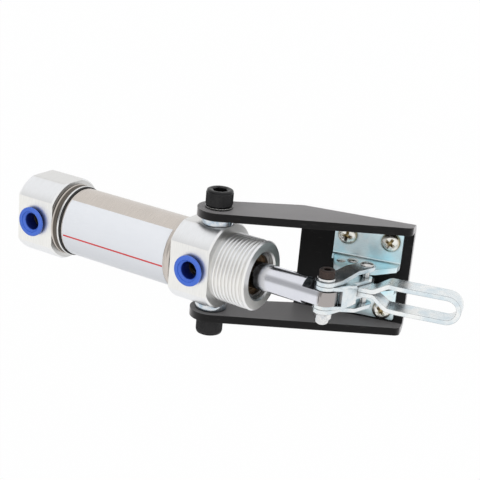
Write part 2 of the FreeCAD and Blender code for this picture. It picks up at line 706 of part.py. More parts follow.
def handle_nut():
    """Cap nut on the end of the handle bolt: a hexagon with a closed dome."""
    radius = HANDLE_NUT_ACROSS / 2
    dome = Part.makeCylinder(radius - RUNNING_GAP, HANDLE_NUT_DOME, Vector(0, 0, HANDLE_NUT_HEX))
    top = HANDLE_NUT_HEX + HANDLE_NUT_DOME
    crown = edges_at(dome, lambda edge, mid: edge.Closed and abs(mid.z - top) < NEAR)
    dome = dome.makeFillet(HANDLE_NUT_DOME * RIVET_CROWN, crown)
    hexagon = hex_prism(HANDLE_NUT_ACROSS, HANDLE_NUT_HEX)
    nut = hexagon.fuse(dome)
    nut = nut.cut(Part.makeCylinder(HANDLE_BOLT_RADIUS + RUNNING_GAP, HANDLE_NUT_HEX + RUNNING_GAP))
    placed = nut.copy()
    seat = at(ROD_PIN, -PLATE_OUTER_TOP - HANDLE_WASHER)
    placed.Placement = Placement(seat, Rotation(Vector(1, 0, 0), 90))
    return one_solid(placed)


def link_plate():
    """Short waisted link that locks the handle against the base when the clamp is closed."""
    half = LINK_THICKNESS / 2
    link = belt(LINK_PIVOT, LINK_WAIST, LINK_PIN, LINK_WAIST, -half, half)
    for eye in (LINK_PIVOT, LINK_PIN):
        link = link.fuse(cross_rod(eye, LINK_EYE, -half, half))
    for eye in (LINK_PIVOT, LINK_PIN):
        link = link.cut(cross_rod(eye, RIVET_RADIUS + RUNNING_GAP, -half, half))
    return one_solid(link)


def link_pin():
    """Plain pin in the link's free end, held between the cheeks."""
    return cross_rod(LINK_PIN, RIVET_RADIUS, -CHANNEL_OUTER_LOW, CHANNEL_OUTER_LOW)


def piston_rod():
    """Chromed rod with a flat tang at its end and a slot for the handle bolt."""
    start = PISTON_FRONT - PISTON_LENGTH - ROD_TAIL
    rod = Part.makeCylinder(ROD_RADIUS, ROD_REACH + TANG_TIP - start, Vector(start, 0, 0), Vector(1, 0, 0))
    tang_from = ROD_REACH - TANG_START
    for side in (1, -1):
        slab = Part.makeBox(
            TANG_START + TANG_TIP, ROD_RADIUS, 2 * ROD_RADIUS,
            Vector(tang_from, TANG_HALF if side > 0 else -TANG_HALF - ROD_RADIUS, -ROD_RADIUS)
        )
        rod = rod.cut(slab)
    square_end = Part.makeBox(TANG_TIP, 2 * ROD_RADIUS, 2 * ROD_RADIUS,
                              Vector(ROD_REACH, -ROD_RADIUS, -ROD_RADIUS))
    round_end = Part.makeCylinder(TANG_TIP, 2 * ROD_RADIUS,
                                  Vector(ROD_REACH, -ROD_RADIUS, 0), Vector(0, 1, 0))
    rod = rod.cut(square_end.cut(round_end))
    slot_radius = HANDLE_BOLT_RADIUS + TANG_SLOT_SIDE
    rise = TANG_SLOT_RISE + HANDLE_BOLT_RADIUS - slot_radius
    slot = belt((ROD_REACH, -rise), slot_radius, (ROD_REACH, rise), slot_radius, -ROD_RADIUS, ROD_RADIUS)
    rod = rod.cut(slot)
    stub = ring(2 * ROD_RADIUS, ROD_RADIUS - ROD_TAPER, PISTON_LENGTH + ROD_TAIL,
                Vector(start, 0, 0), Vector(1, 0, 0))
    return on_cylinder_axis(one_solid(rod.cut(stub)))


def head_block(front, back, back_round):
    """Round cylinder head with flats for the ports and for the trunnion screws, rounded behind."""
    length = front - back
    body = Part.makeCylinder(HEAD_RADIUS, length, Vector(back, 0, 0), Vector(1, 0, 0))
    flats = Part.makeBox(
        length, 2 * HEAD_FLAT_SIDE, 2 * HEAD_FLAT_PORT, Vector(back, -HEAD_FLAT_SIDE, -HEAD_FLAT_PORT)
    )
    front_rim = edges_at(body, lambda edge, mid: edge.Closed and mid.x > front - HEAD_EDGE)
    body = body.makeChamfer(HEAD_EDGE, front_rim)

    def at_back(edge, mid):
        return abs(edge.BoundBox.XMax - back) < NEAR

    body = body.makeFillet(back_round, edges_at(body, at_back))
    flats = flats.makeFillet(back_round, edges_at(flats, at_back))
    return body.common(flats)


def bored_port(head, along):
    """Cuts the fitting's socket and the air way below it into a head."""
    floor = HEAD_FLAT_PORT - FITTING_DEPTH
    outer = TUBE_RADIUS + COLLET_WALL + FITTING_WALL + 2 * RUNNING_GAP
    socket = Part.makeCylinder(outer, BIG, Vector(along, 0, floor))
    air = Part.makeCylinder(TUBE_RADIUS - FITTING_WALL, HEAD_FLAT_PORT, Vector(along, 0, 0))
    return head.cut(socket).cut(air)


def thread_profile(start, end, root, crest):
    """Ridges of a thread drawn as rings, as points along the edge."""
    points = []
    ridges = int((end - start) / THREAD_PITCH)
    for i in range(ridges):
        along = start + i * THREAD_PITCH
        end_of_crest = along + THREAD_PITCH - THREAD_FLANK
        points += [(along, root), (along + THREAD_FLANK, crest), (end_of_crest, crest)]
    points.append((start + ridges * THREAD_PITCH, root))
    return points


def front_head():
    """Aluminium front head: threaded nose, recess for the rod's bush and seal, port and spigot."""
    body = head_block(HEAD_FRONT, HEAD_REAR, HEAD_EDGE)
    root = NOSE_RADIUS - THREAD_DEPTH
    thread = thread_profile(HEAD_FRONT + THREAD_START, NOSE_FRONT - NOSE_LIP, root, NOSE_RADIUS)
    nose = [(HEAD_REAR, 0.0), (HEAD_REAR, root)] + thread
    nose += [(NOSE_FRONT - NOSE_LIP, NOSE_RADIUS), (NOSE_FRONT - HEAD_EDGE, NOSE_RADIUS),
             (NOSE_FRONT, NOSE_RADIUS - HEAD_EDGE), (NOSE_FRONT, 0.0)]
    spigot = Part.makeCylinder(SPIGOT_RADIUS, 2 * SPIGOT, Vector(FRONT_CHAMBER, 0, 0), Vector(1, 0, 0))
    body = body.fuse(turned(nose)).fuse(spigot)
    bush_rear = NOSE_FRONT - RECESS - BUSH_LENGTH
    clip_rear = NOSE_FRONT - RECESS
    body = body.cut(turned([
        (NOSE_FRONT + HEAD_EDGE, 0.0),
        (NOSE_FRONT + HEAD_EDGE, RECESS_RADIUS + 2 * HEAD_EDGE),
        (NOSE_FRONT - HEAD_EDGE, RECESS_RADIUS),
        (clip_rear + CIRCLIP + 2 * RUNNING_GAP, RECESS_RADIUS),
        (clip_rear + CIRCLIP + 2 * RUNNING_GAP, RECESS_RADIUS + CIRCLIP_BITE),
        (clip_rear, RECESS_RADIUS + CIRCLIP_BITE),
        (clip_rear, RECESS_RADIUS),
        (bush_rear, RECESS_RADIUS),
        (bush_rear, SEAL_RADIUS),
        (bush_rear - SEAL_LENGTH, SEAL_RADIUS),
        (bush_rear - SEAL_LENGTH, ROD_RADIUS + AIR_GAP),
        (FRONT_CHAMBER, ROD_RADIUS + AIR_GAP),
        (FRONT_CHAMBER, 0.0),
    ]))
    body = bored_port(body, PORT_FRONT)
    depth = HEAD_FLAT_SIDE - TRUNNION_GRIP
    for side in (1, -1):
        hole = Part.makeCylinder(
            TRUNNION_RADIUS + RUNNING_GAP, 2 * TRUNNION_GRIP,
            Vector(0, side * (depth - SIDE_GAP), 0), Vector(0, side, 0)
        )
        body = body.cut(hole)
    return on_cylinder_axis(one_solid(body))


def rear_head():
    """Aluminium rear head, closed behind, with its port, an air way and the spigot for the barrel."""
    body = head_block(REAR_HEAD_FRONT, REAR_HEAD_BACK, HEAD_END_ROUND)
    spigot = Part.makeCylinder(SPIGOT_RADIUS, 2 * SPIGOT,
                               Vector(REAR_HEAD_FRONT - SPIGOT, 0, 0), Vector(1, 0, 0))
    bore = Part.makeCylinder(
        ROD_RADIUS + AIR_GAP, REAR_HEAD_FRONT + SPIGOT - REAR_HEAD_BACK - REAR_WALL,
        Vector(REAR_HEAD_BACK + REAR_WALL, 0, 0), Vector(1, 0, 0)
    )
    body = bored_port(body.fuse(spigot).cut(bore), PORT_REAR)
    return on_cylinder_axis(one_solid(body))


def barrel():
    """Thin stainless tube pushed over both spigots, with a rolled bead by the front head
    and a rolled flange by the rear head."""
    bead_front = HEAD_REAR - RUNNING_GAP
    rear = REAR_HEAD_FRONT + RUNNING_GAP
    flange = rear + CRIMP_LENGTH
    return on_cylinder_axis(turned([
        (rear, BARREL_INNER),
        (rear, CRIMP_RADIUS - CRIMP_EDGE),
        (rear + CRIMP_EDGE, CRIMP_RADIUS),
        (flange - CRIMP_EDGE, CRIMP_RADIUS),
        (flange, CRIMP_RADIUS - CRIMP_EDGE),
        (flange, BARREL_OUTER),
        (bead_front - BEAD_LENGTH, BARREL_OUTER),
        (bead_front - BEAD_LENGTH + BEAD_HEIGHT, BARREL_OUTER + BEAD_HEIGHT),
        (bead_front - BEAD_HEIGHT, BARREL_OUTER + BEAD_HEIGHT),
        (bead_front, BARREL_OUTER),
        (bead_front, BARREL_INNER),
    ]))


def rear_band():
    """Snap ring round the barrel in front of its rear flange."""
    start = REAR_HEAD_FRONT + CRIMP_LENGTH + BAND_GAP
    return on_cylinder_axis(ring(BAND_RADIUS, BARREL_OUTER + RUNNING_GAP, BAND_LENGTH,
                                 Vector(start, 0, 0), Vector(1, 0, 0)))


def rod_bush():
    """Sintered bronze bush that guides the rod in the front head, stepped back round the rod."""
    start = NOSE_FRONT - RECESS - BUSH_LENGTH + RUNNING_GAP
    front = NOSE_FRONT - RECESS - RUNNING_GAP
    inner = ROD_RADIUS + RUNNING_GAP
    outer = RECESS_RADIUS - RUNNING_GAP
    return on_cylinder_axis(turned([
        (start, inner),
        (start, outer),
        (front, outer),
        (front, outer - BUSH_STEP),
        (front - BUSH_STEP / 2, outer - BUSH_STEP),
        (front - BUSH_STEP, inner),
    ]))


def rod_seal():
    """Rubber lip seal behind the bush."""
    start = NOSE_FRONT - RECESS - BUSH_LENGTH - SEAL_LENGTH + RUNNING_GAP
    back = start + SEAL_LENGTH - 2 * RUNNING_GAP
    outer = SEAL_RADIUS - RUNNING_GAP
    inner = ROD_RADIUS + RUNNING_GAP
    return on_cylinder_axis(turned([
        (start, outer), (back, outer), (back, inner), (start + SEAL_LIP, inner),
        (start, inner + RUNNING_GAP + SIDE_GAP),
    ]))


def circlip():
    """Internal retaining ring in front of the bush, open on one side between two drilled lugs."""
    start = NOSE_FRONT - RECESS + RUNNING_GAP
    along = Vector(1, 0, 0)
    outer = RECESS_RADIUS + CIRCLIP_BITE - RUNNING_GAP
    inner = outer - CIRCLIP_BITE - CIRCLIP_BAND
    clip = ring(outer, inner, CIRCLIP, Vector(start, 0, 0), along)
    half_gap = math.radians(CIRCLIP_OPENING / 2)
    reach = 2 * outer
    wedge = polygon([
        Vector(start, 0, 0),
        Vector(start, -reach * math.sin(half_gap), reach * math.cos(half_gap)),
        Vector(start, reach * math.sin(half_gap), reach * math.cos(half_gap)),
    ]).extrude(Vector(CIRCLIP, 0, 0))
    clip = clip.cut(wedge)
    centre = inner + CIRCLIP_LUG / 3
    for side in (1, -1):
        turn = side * (half_gap + CIRCLIP_LUG / centre)
        place = Vector(start, centre * math.sin(turn), centre * math.cos(turn))
        lug = Part.makeCylinder(CIRCLIP_LUG, CIRCLIP, place, along)
        clip = clip.fuse(lug).cut(Part.makeCylinder(CIRCLIP_LUG_HOLE, CIRCLIP, place, along))
    clip.rotate(Vector(0, 0, 0), along, -CIRCLIP_TURN)
    return on_cylinder_axis(one_solid(clip))


def piston():
    """Aluminium piston with grooves for a seal at each end and a wear ring between them."""
    outer = BARREL_INNER - 3 * RUNNING_GAP
    front = PISTON_FRONT
    back = front - PISTON_LENGTH
    body = ring(outer, ROD_RADIUS - ROD_TAPER + RUNNING_GAP, PISTON_LENGTH,
                Vector(back, 0, 0), Vector(1, 0, 0))
    for start, width, depth in piston_grooves():
        groove = ring(2 * outer, outer - depth, width, Vector(start, 0, 0), Vector(1, 0, 0))
        body = body.cut(groove)
    return on_cylinder_axis(one_solid(body))


def piston_grooves():
    """Start, width and depth of the piston's grooves, rear seal first, wear ring last."""
    front = PISTON_FRONT
    back = front - PISTON_LENGTH
    land = PISTON_SEAL_WIDTH / 2
    middle = (front + back) / 2
    return [
        (back + land, PISTON_SEAL_WIDTH, PISTON_SEAL_DEPTH),
        (front - land - PISTON_SEAL_WIDTH, PISTON_SEAL_WIDTH, PISTON_SEAL_DEPTH),
        (middle - WEAR_RING_WIDTH / 2, WEAR_RING_WIDTH, WEAR_RING_DEPTH),
    ]


def piston_ring(index):
    """Seal or wear ring in one of the piston's grooves, just clear of the barrel."""
    start, width, depth = piston_grooves()[index]
    inner = BARREL_INNER - 3 * RUNNING_GAP - depth + RUNNING_GAP
    return on_cylinder_axis(ring(BARREL_INNER - RUNNING_GAP, inner, width - 2 * RUNNING_GAP,
                                 Vector(start + RUNNING_GAP, 0, 0), Vector(1, 0, 0)))


def trunnion_screw():
    """Black socket-head screw on the +Y side, the pin on which the cylinder rocks."""
    seat = HALF_WIDTH + SPRING_WASHER
    shank = seat - HEAD_FLAT_SIDE + TRUNNION_GRIP
    screw = socket_screw(TRUNNION_RADIUS, TRUNNION_HEAD_RADIUS, TRUNNION_HEAD, TRUNNION_SOCKET, shank)
    return across_clamp(screw, TRUNNION, seat)


def spring_washer():
    """Split spring washer between the screw head and the bracket arm."""
    washer = ring(SPRING_WASHER_RADIUS, TRUNNION_RADIUS + RUNNING_GAP, SPRING_WASHER - 2 * RUNNING_GAP,
                  Vector(0, 0, RUNNING_GAP), Vector(0, 0, 1))
    slit = Part.makeBox(SPRING_WASHER_RADIUS, SPRING_WASHER_SLIT, SPRING_WASHER,
                        Vector(0, -SPRING_WASHER_SLIT / 2, 0))
    slit.rotate(Vector(0, 0, 0), Vector(0, 0, 1), SPRING_WASHER_TURN)
    return across_clamp(washer.cut(slit), TRUNNION, HALF_WIDTH)


def trunnion_spacer():
    """Plated spacer between the cylinder head and the bracket arm."""
    return ring(SPACER_RADIUS, TRUNNION_RADIUS + RUNNING_GAP, SPACER,
                at(TRUNNION, HEAD_FLAT_SIDE), Vector(0, 1, 0))


def fitting_sleeve(along):
    """Brass sleeve of a push-in fitting, pressed flush into a head's port."""
    floor = HEAD_FLAT_PORT - FITTING_DEPTH
    inner = TUBE_RADIUS + COLLET_WALL + 2 * RUNNING_GAP
    return on_cylinder_axis(ring(inner + FITTING_WALL - RUNNING_GAP, inner, FITTING_DEPTH - RUNNING_GAP,
                                 Vector(along, 0, floor + RUNNING_GAP), Vector(0, 0, 1)))


def tube_seal(along):
    """Rubber ring that grips the air tube at the bottom of the fitting."""
    floor = HEAD_FLAT_PORT - FITTING_DEPTH + 2 * RUNNING_GAP
    outer = TUBE_RADIUS + COLLET_WALL + RUNNING_GAP
    return on_cylinder_axis(ring(outer, TUBE_RADIUS + 4 * TUBE_GAP, TUBE_SEAL,
                                 Vector(along, 0, floor), Vector(0, 0, 1)))


def grip_ring(along):
    """Thin toothed steel ring that holds the air tube."""
    floor = HEAD_FLAT_PORT - FITTING_DEPTH + TUBE_SEAL + 5 * RUNNING_GAP
    outer = TUBE_RADIUS + COLLET_WALL + RUNNING_GAP
    tooth_root = TUBE_RADIUS + 4 * TUBE_GAP
    grip = ring(outer, tooth_root, GRIP_RING, Vector(along, 0, floor), Vector(0, 0, 1))
    for i in range(GRIP_TEETH):
        notch = Part.makeBox(outer - GRIP_RING, GRIP_RING, GRIP_RING, Vector(0, -GRIP_RING / 2, 0))
        notch.rotate(Vector(0, 0, 0), Vector(0, 0, 1), i * 360.0 / GRIP_TEETH)
        notch.translate(Vector(along, 0, floor))
        grip = grip.cut(notch)
    return on_cylinder_axis(grip)


def collet(along):
    """Blue plastic release collet: a sleeve with a round flange to push on, bevelled at its mouth."""
    under = HEAD_FLAT_PORT + COLLET_TRAVEL + RUNNING_GAP
    top = under + COLLET_FLANGE
    bottom = top - COLLET_LENGTH
    bore = TUBE_RADIUS + TUBE_GAP
    sleeve = bore + COLLET_WALL - TUBE_GAP
    face = polygon([
        Vector(bore, 0, bottom), Vector(sleeve, 0, bottom), Vector(sleeve, 0, under),
        Vector(COLLET_FLANGE_RADIUS, 0, under), Vector(COLLET_FLANGE_RADIUS, 0, top - COLLET_BEVEL),
        Vector(COLLET_FLANGE_RADIUS - COLLET_BEVEL, 0, top), Vector(bore + COLLET_BEVEL, 0, top),
        Vector(bore, 0, top - COLLET_BEVEL),
    ])
    body = face.revolve(Vector(0, 0, 0), Vector(0, 0, 1), 360)
    body.translate(Vector(along, 0, 0))
    return on_cylinder_axis(body)


def all_nodes():
    """Every separate piece of the clamp by its name."""
    left_plate = base_plate()
    outer_plate = handle_plate()
    screw = trunnion_screw()
    washer = spring_washer()
    spacer = trunnion_spacer()
    nodes = {
        "bracket": bracket(),
        "base_plate_left": left_plate,
        "base_plate_right": mirrored(left_plate),
        "bar_pivot_rivet": rivet(BAR_PIVOT, CHEEK_OUTER, RIVET_HEAD_RADIUS, RIVET_HEAD),
        "link_pivot_rivet": rivet(LINK_PIVOT, CHEEK_OUTER, LINK_RIVET_HEAD_RADIUS, LINK_RIVET_HEAD),
        "clamp_bar": clamp_bar(),
        "handle_channel": handle_channel(),
        "handle_plate_left": outer_plate,
        "handle_plate_right": mirrored(outer_plate),
        "handle_pivot_rivet": rivet(HANDLE_PIVOT, PLATE_OUTER_LOW,
                                    HANDLE_RIVET_HEAD_RADIUS, HANDLE_RIVET_HEAD),
        "handle_bolt": handle_bolt(),
        "handle_washer_left": handle_washer(HANDLE_HEAD_WASHER, PLATE_OUTER_TOP),
        "handle_washer_right": handle_washer(HANDLE_WASHER, -PLATE_OUTER_TOP - HANDLE_WASHER),
        "handle_nut": handle_nut(),
        "link_plate": link_plate(),
        "link_pin": link_pin(),
        "piston_rod": piston_rod(),
        "piston": piston(),
        "piston_seal_rear": piston_ring(0),
        "piston_seal_front": piston_ring(1),
        "piston_wear_ring": piston_ring(2),
        "front_head": front_head(),
        "rear_head": rear_head(),
        "barrel": barrel(),
        "rear_band": rear_band(),
        "rod_bush": rod_bush(),
        "rod_seal": rod_seal(),
        "circlip": circlip(),
        "trunnion_screw_left": screw,
        "trunnion_screw_right": mirrored(screw),
        "spring_washer_left": washer,
        "spring_washer_right": mirrored(washer),
        "trunnion_spacer_left": spacer,
        "trunnion_spacer_right": mirrored(spacer),
    }
    for end, along in (("front", PORT_FRONT), ("rear", PORT_REAR)):
        nodes["fitting_sleeve_" + end] = fitting_sleeve(along)
        nodes["tube_seal_" + end] = tube_seal(along)
        nodes["grip_ring_" + end] = grip_ring(along)
        nodes["collet_" + end] = collet(along)
    base_screw = pan_head_screw()
    for name, place in zip(("rear_right", "rear_left", "front_right", "front_left"), base_screw_places()):
        fastener = base_screw.copy()
        fastener.translate(Vector(place.x, place.y, FLANGE_TOP))
        nodes["base_screw_" + name] = fastener
    return nodes


os.makedirs("parts", exist_ok=True)
for node_name, node_shape in all_nodes().items():
    node_shape.exportStep("parts/" + node_name + ".step")
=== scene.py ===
import math

import bmesh
import bpy
from mathutils import Matrix, Vector


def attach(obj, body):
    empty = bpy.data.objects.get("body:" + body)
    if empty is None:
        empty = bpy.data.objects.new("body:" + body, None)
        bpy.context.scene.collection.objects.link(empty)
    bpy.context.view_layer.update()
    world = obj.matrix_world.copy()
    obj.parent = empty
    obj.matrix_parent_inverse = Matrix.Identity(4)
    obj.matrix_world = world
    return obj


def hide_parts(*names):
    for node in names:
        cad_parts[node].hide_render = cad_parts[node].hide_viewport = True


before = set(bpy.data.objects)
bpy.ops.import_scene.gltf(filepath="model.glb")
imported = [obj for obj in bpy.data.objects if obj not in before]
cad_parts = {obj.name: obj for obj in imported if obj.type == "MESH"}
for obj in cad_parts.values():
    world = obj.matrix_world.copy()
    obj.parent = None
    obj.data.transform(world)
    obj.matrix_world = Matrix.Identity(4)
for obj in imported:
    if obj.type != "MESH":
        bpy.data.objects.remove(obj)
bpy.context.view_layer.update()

# The studio: a white sweep far under the clamp, a pale world, one large soft lamp overhead
# and two beside it. The camera stands high in front, where the photograph was taken from.
CAMERA_PLACE = (0.0726, 0.1513, 0.4064)
CAMERA_RIGHT = (0.9482, 0.0844, -0.3062)
CAMERA_UP = (-0.1786, 0.9389, -0.2943)
CAMERA_BACK = (0.2626, 0.3337, 0.9053)
CAMERA_LENS = 87.75
CAMERA_SENSOR = 36.0
CAMERA_NEAR = 0.01
FLOOR_DROP = 0.09
FLOOR_SIZE = 4.0
FLOOR_TINT = (0.9, 0.9, 0.9, 1)
FLOOR_GLOW = 0.97
WORLD_TINT = (0.95, 0.97, 1.0, 1)
WORLD_LIGHT = 0.46
SHADE_TOWARD = (-0.67, 0.33, 0.67)
SHADE_FROM = 0.86
SHADE_TO = 0.985
SHADE_GREY = 0.50
LAMPS = (
    ("overhead_lamp", (0.05, 0.10, 0.75), (0.0, 0.0, 0.0), 1.0, 3.4),
    ("side_lamp", (-0.25, 0.80, 0.45), (-0.02, 0.0, 0.01), 1.1, 3.6),
    ("front_lamp", (0.75, -0.25, 0.40), (0.0, 0.0, 0.01), 1.0, 2.8),
)

scene = bpy.context.scene
scene.view_settings.view_transform = "Standard"


def computed(tree, operation, first, second=None):
    """Result of one sum on two sockets or numbers."""
    step = tree.nodes.new("ShaderNodeMath")
    step.operation = operation
    for socket, value in zip(step.inputs, (first, second)):
        if isinstance(value, float):
            socket.default_value = value
        elif value is not None:
            tree.links.new(value, socket)
    return step.outputs[0]


def agreement(tree, direction, other):
    """1 where two directions agree, 0 where they are square; the other may be a plain row."""
    dot = tree.nodes.new("ShaderNodeVectorMath")
    dot.operation = "DOT_PRODUCT"
    tree.links.new(direction, dot.inputs[0])
    if isinstance(other, tuple):
        dot.inputs[1].default_value = other
    else:
        tree.links.new(other, dot.inputs[1])
    return dot.outputs["Value"]


def mixed(tree, share, lit, seen, output_kind):
    """Shader output that is lit by one shader and seen directly as the other."""
    out = tree.nodes.new(output_kind)
    mix = tree.nodes.new("ShaderNodeMixShader")
    tree.links.new(share, mix.inputs["Fac"])
    tree.links.new(lit.outputs[0], mix.inputs[1])
    tree.links.new(seen.outputs[0], mix.inputs[2])
    tree.links.new(mix.outputs[0], out.inputs["Surface"])


def placed(name, data):
    """Object made of some data, put into the scene."""
    thing = bpy.data.objects.new(name, data)
    scene.collection.objects.link(thing)
    return thing


def seen_directly(tree):
    """1 for camera, mirror and see-through rays, 0 for the light that falls on the object."""
    path = tree.nodes.new("ShaderNodeLightPath")
    total = path.outputs["Is Camera Ray"]
    for name in ("Is Glossy Ray", "Is Transmission Ray"):
        total = computed(tree, "MAXIMUM", total, path.outputs[name])
    return total


def build_world():
    """White all round but for one soft grey panel that round metal mirrors as a darker streak."""
    world = bpy.data.worlds.new("studio")
    world.use_nodes = True
    tree = world.node_tree
    tree.nodes.clear()
    light = tree.nodes.new("ShaderNodeBackground")
    light.inputs["Color"].default_value = WORLD_TINT
    light.inputs["Strength"].default_value = WORLD_LIGHT
    coords = tree.nodes.new("ShaderNodeTexCoord")
    nearness = agreement(tree, coords.outputs["Generated"], SHADE_TOWARD)
    shade = tree.nodes.new("ShaderNodeMapRange")
    shade.interpolation_type = "SMOOTHSTEP"
    shade.inputs["From Min"].default_value = SHADE_FROM
    shade.inputs["From Max"].default_value = SHADE_TO
    shade.inputs["To Min"].default_value = 1.0
    shade.inputs["To Max"].default_value = SHADE_GREY
    seen = tree.nodes.new("ShaderNodeBackground")
    tree.links.new(nearness, shade.inputs["Value"])
    tree.links.new(shade.outputs["Result"], seen.inputs["Color"])
    mixed(tree, seen_directly(tree), light, seen, "ShaderNodeOutputWorld")
    scene.world = world


def build_floor():
    """White sweep that keeps only a breath of shadow."""
    mesh = bpy.data.meshes.new("floor")
    half = FLOOR_SIZE / 2
    corners = [(-half, -half), (half, -half), (half, half), (-half, half)]
    mesh.from_pydata([(x, y, -FLOOR_DROP) for x, y in corners], [], [(0, 1, 2, 3)])
    material = bpy.data.materials.new("floor_white")
    material.use_nodes = True
    tree = material.node_tree
    tree.nodes.clear()
    paper = tree.nodes.new("ShaderNodeBsdfDiffuse")
    paper.inputs["Color"].default_value = FLOOR_TINT
    glow = tree.nodes.new("ShaderNodeEmission")
    glow.inputs["Strength"].default_value = 1.0
    share = computed(tree, "MULTIPLY", seen_directly(tree), FLOOR_GLOW)
    mixed(tree, share, paper, glow, "ShaderNodeOutputMaterial")
    mesh.materials.append(material)
    placed("floor", mesh)


def build_lamps():
    """Soft square lamps aimed at the clamp, hidden behind white cloth: metal mirrors the cloth."""
    for name, place, target, size, power in LAMPS:
        data = bpy.data.lights.new(name, "AREA")
        data.size = size
        data.energy = power
        lamp = placed(name, data)
        aim = (Vector(target) - Vector(place)).to_track_quat("-Z", "Y")
        lamp.matrix_world = Matrix.Translation(place) @ aim.to_matrix().to_4x4()
        lamp.visible_glossy = False


def build_camera():
    """Camera solved on the photograph's own perspective."""
    data = bpy.data.cameras.new("camera")
    data.lens = CAMERA_LENS
    data.sensor_width = CAMERA_SENSOR
    data.clip_start = CAMERA_NEAR
    scene.camera = placed("camera", data)
    turn = Matrix((CAMERA_RIGHT, CAMERA_UP, CAMERA_BACK)).transposed().to_4x4()
    scene.camera.matrix_world = Matrix.Translation(CAMERA_PLACE) @ turn


build_world()
build_floor()
build_lamps()
build_camera()

# Bracket: one sheet of 3 mm steel folded to a U, coated satin black all over after folding,
# with its cut edges rubbed a little lighter. It carries everything else.
SHARP_CORNER = math.radians(33)
SMOOTH_LIMIT = math.radians(35)
BRACKET_EDGE = 0.35
MILLIMETRE = 0.001
TOUCHING = 0.002 * MILLIMETRE
NEARLY_FLAT = math.radians(0.6)


def show(name, mesh, material, body, slot_name, *nodes):
    """Puts a finished mesh into the clamp as a piece that moves with a body."""
    piece = placed(name, mesh)
    mesh.materials.clear()
    mesh.materials.append(material)
    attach(piece, body)
    if nodes:
        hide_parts(*nodes)
    return piece


def shaded(mesh):
    """Smooth curves, crisp corners."""
    mesh.polygons.foreach_set("use_smooth", [True] * len(mesh.polygons))
    mesh.set_sharp_from_angle(angle=SMOOTH_LIMIT)
    mesh.update()
    return mesh


def baked(work, name):
    """Mesh made from a working copy, which is used up."""
    mesh = bpy.data.meshes.new(name)
    work.to_mesh(mesh)
    work.free()
    return shaded(mesh)


def merged_copy(node):
    """Closed working copy of a CAD piece's skin."""
    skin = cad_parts[node].data
    work = bmesh.new()
    corners = [work.verts.new(v.co) for v in skin.vertices]
    work.verts.ensure_lookup_table()
    for face in skin.polygons:
        work.faces.new([corners[i] for i in face.vertices])
    bmesh.ops.remove_doubles(work, verts=work.verts, dist=TOUCHING)
    return work


def rounded_off(work, name, width, steps=2):
    """Turns a working copy into a mesh with its sharp edges rounded over."""
    bmesh.ops.dissolve_limit(work, angle_limit=NEARLY_FLAT, verts=work.verts, edges=work.edges)
    corners = [e for e in work.edges if e.is_manifold and e.calc_face_angle(0.0) > SHARP_CORNER]
    bmesh.ops.bevel(
        work, geom=corners, offset=width * MILLIMETRE, segments=steps, profile=0.5,
        affect="EDGES", clamp_overlap=True,
    )
    return baked(work, name)


def flattened(piece):
    """Keeps a piece's flat faces flat in the shading, beside their rounded edges."""
    piece.modifiers.new("flat_faces", "WEIGHTED_NORMAL").keep_sharp = True


def softened(node, name, material, body, slot_name, width, steps=2):
    """CAD piece shown with its edges rounded over, as tumbling or coating leaves them."""
    mesh = rounded_off(merged_copy(node), name, width, steps)
    flattened(show(name, mesh, material, body, slot_name, node))


def blank(name):
    """Empty material with its shader, to be filled in."""
    material = bpy.data.materials.new(name)
    material.use_nodes = True
    tree = material.node_tree
    return material, tree, tree.nodes["Principled BSDF"]


def where(tree, stretch=(1, 1, 1), turn=(0, 0, 0), centre=(0, 0, 0)):
    """Place on the piece, stretched and turned along its grain."""
    coords = tree.nodes.new("ShaderNodeTexCoord")
    moved = tree.nodes.new("ShaderNodeVectorMath")
    moved.operation = "SUBTRACT"
    moved.inputs[1].default_value = centre
    tree.links.new(coords.outputs["Object"], moved.inputs[0])
    mapping = tree.nodes.new("ShaderNodeMapping")
    mapping.inputs["Scale"].default_value = stretch
    turned = tree.nodes.new("ShaderNodeMapping")
    turned.inputs["Rotation"].default_value = turn
    tree.links.new(moved.outputs[0], turned.inputs["Vector"])
    tree.links.new(turned.outputs[0], mapping.inputs["Vector"])
    return mapping.outputs[0]


def cloud(tree, place, size_mm, detail=4.0):
    """Uneven patches of a given size, from 0 to 1."""
    noise = tree.nodes.new("ShaderNodeTexNoise")
    noise.inputs["Scale"].default_value = 1.0 / (size_mm * MILLIMETRE)
    noise.inputs["Detail"].default_value = detail
    tree.links.new(place, noise.inputs["Vector"])
    return noise.outputs["Fac"]


def graded(tree, value, low, high, start=0.3, end=0.7):
    """Number that runs from low to high with a value."""
    ramp = tree.nodes.new("ShaderNodeMapRange")
    ramp.inputs["From Min"].default_value = start
    ramp.inputs["From Max"].default_value = end
    ramp.inputs["To Min"].default_value = low
    ramp.inputs["To Max"].default_value = high
    tree.links.new(value, ramp.inputs["Value"])
    return ramp.outputs["Result"]


def blended(tree, value, low, high):
    """Colour between two, by a value; either may be a colour or a node's output."""
    mix = tree.nodes.new("ShaderNodeMix")
    mix.data_type = "RGBA"
    tree.links.new(value, mix.inputs["Factor"])
    for name, colour in (("A", low), ("B", high)):
        socket = [s for s in mix.inputs if s.name == name and s.type == "RGBA"][0]
        if isinstance(colour, tuple):
            socket.default_value = (*colour, 1)
        else:
            tree.links.new(colour, socket)
    return [s for s in mix.outputs if s.type == "RGBA"][0]


def painted(tree, skin, colour, gloss, height, depth_mm):
    """Gives a shader its colour, its roughness and a fine relief."""
    tree.links.new(colour, skin.inputs["Base Color"])
    tree.links.new(gloss, skin.inputs["Roughness"])
    bump = tree.nodes.new("ShaderNodeBump")
    bump.inputs["Distance"].default_value = depth_mm * MILLIMETRE
    tree.links.new(height, bump.inputs["Height"])
    tree.links.new(bump.outputs[0], skin.inputs["Normal"])


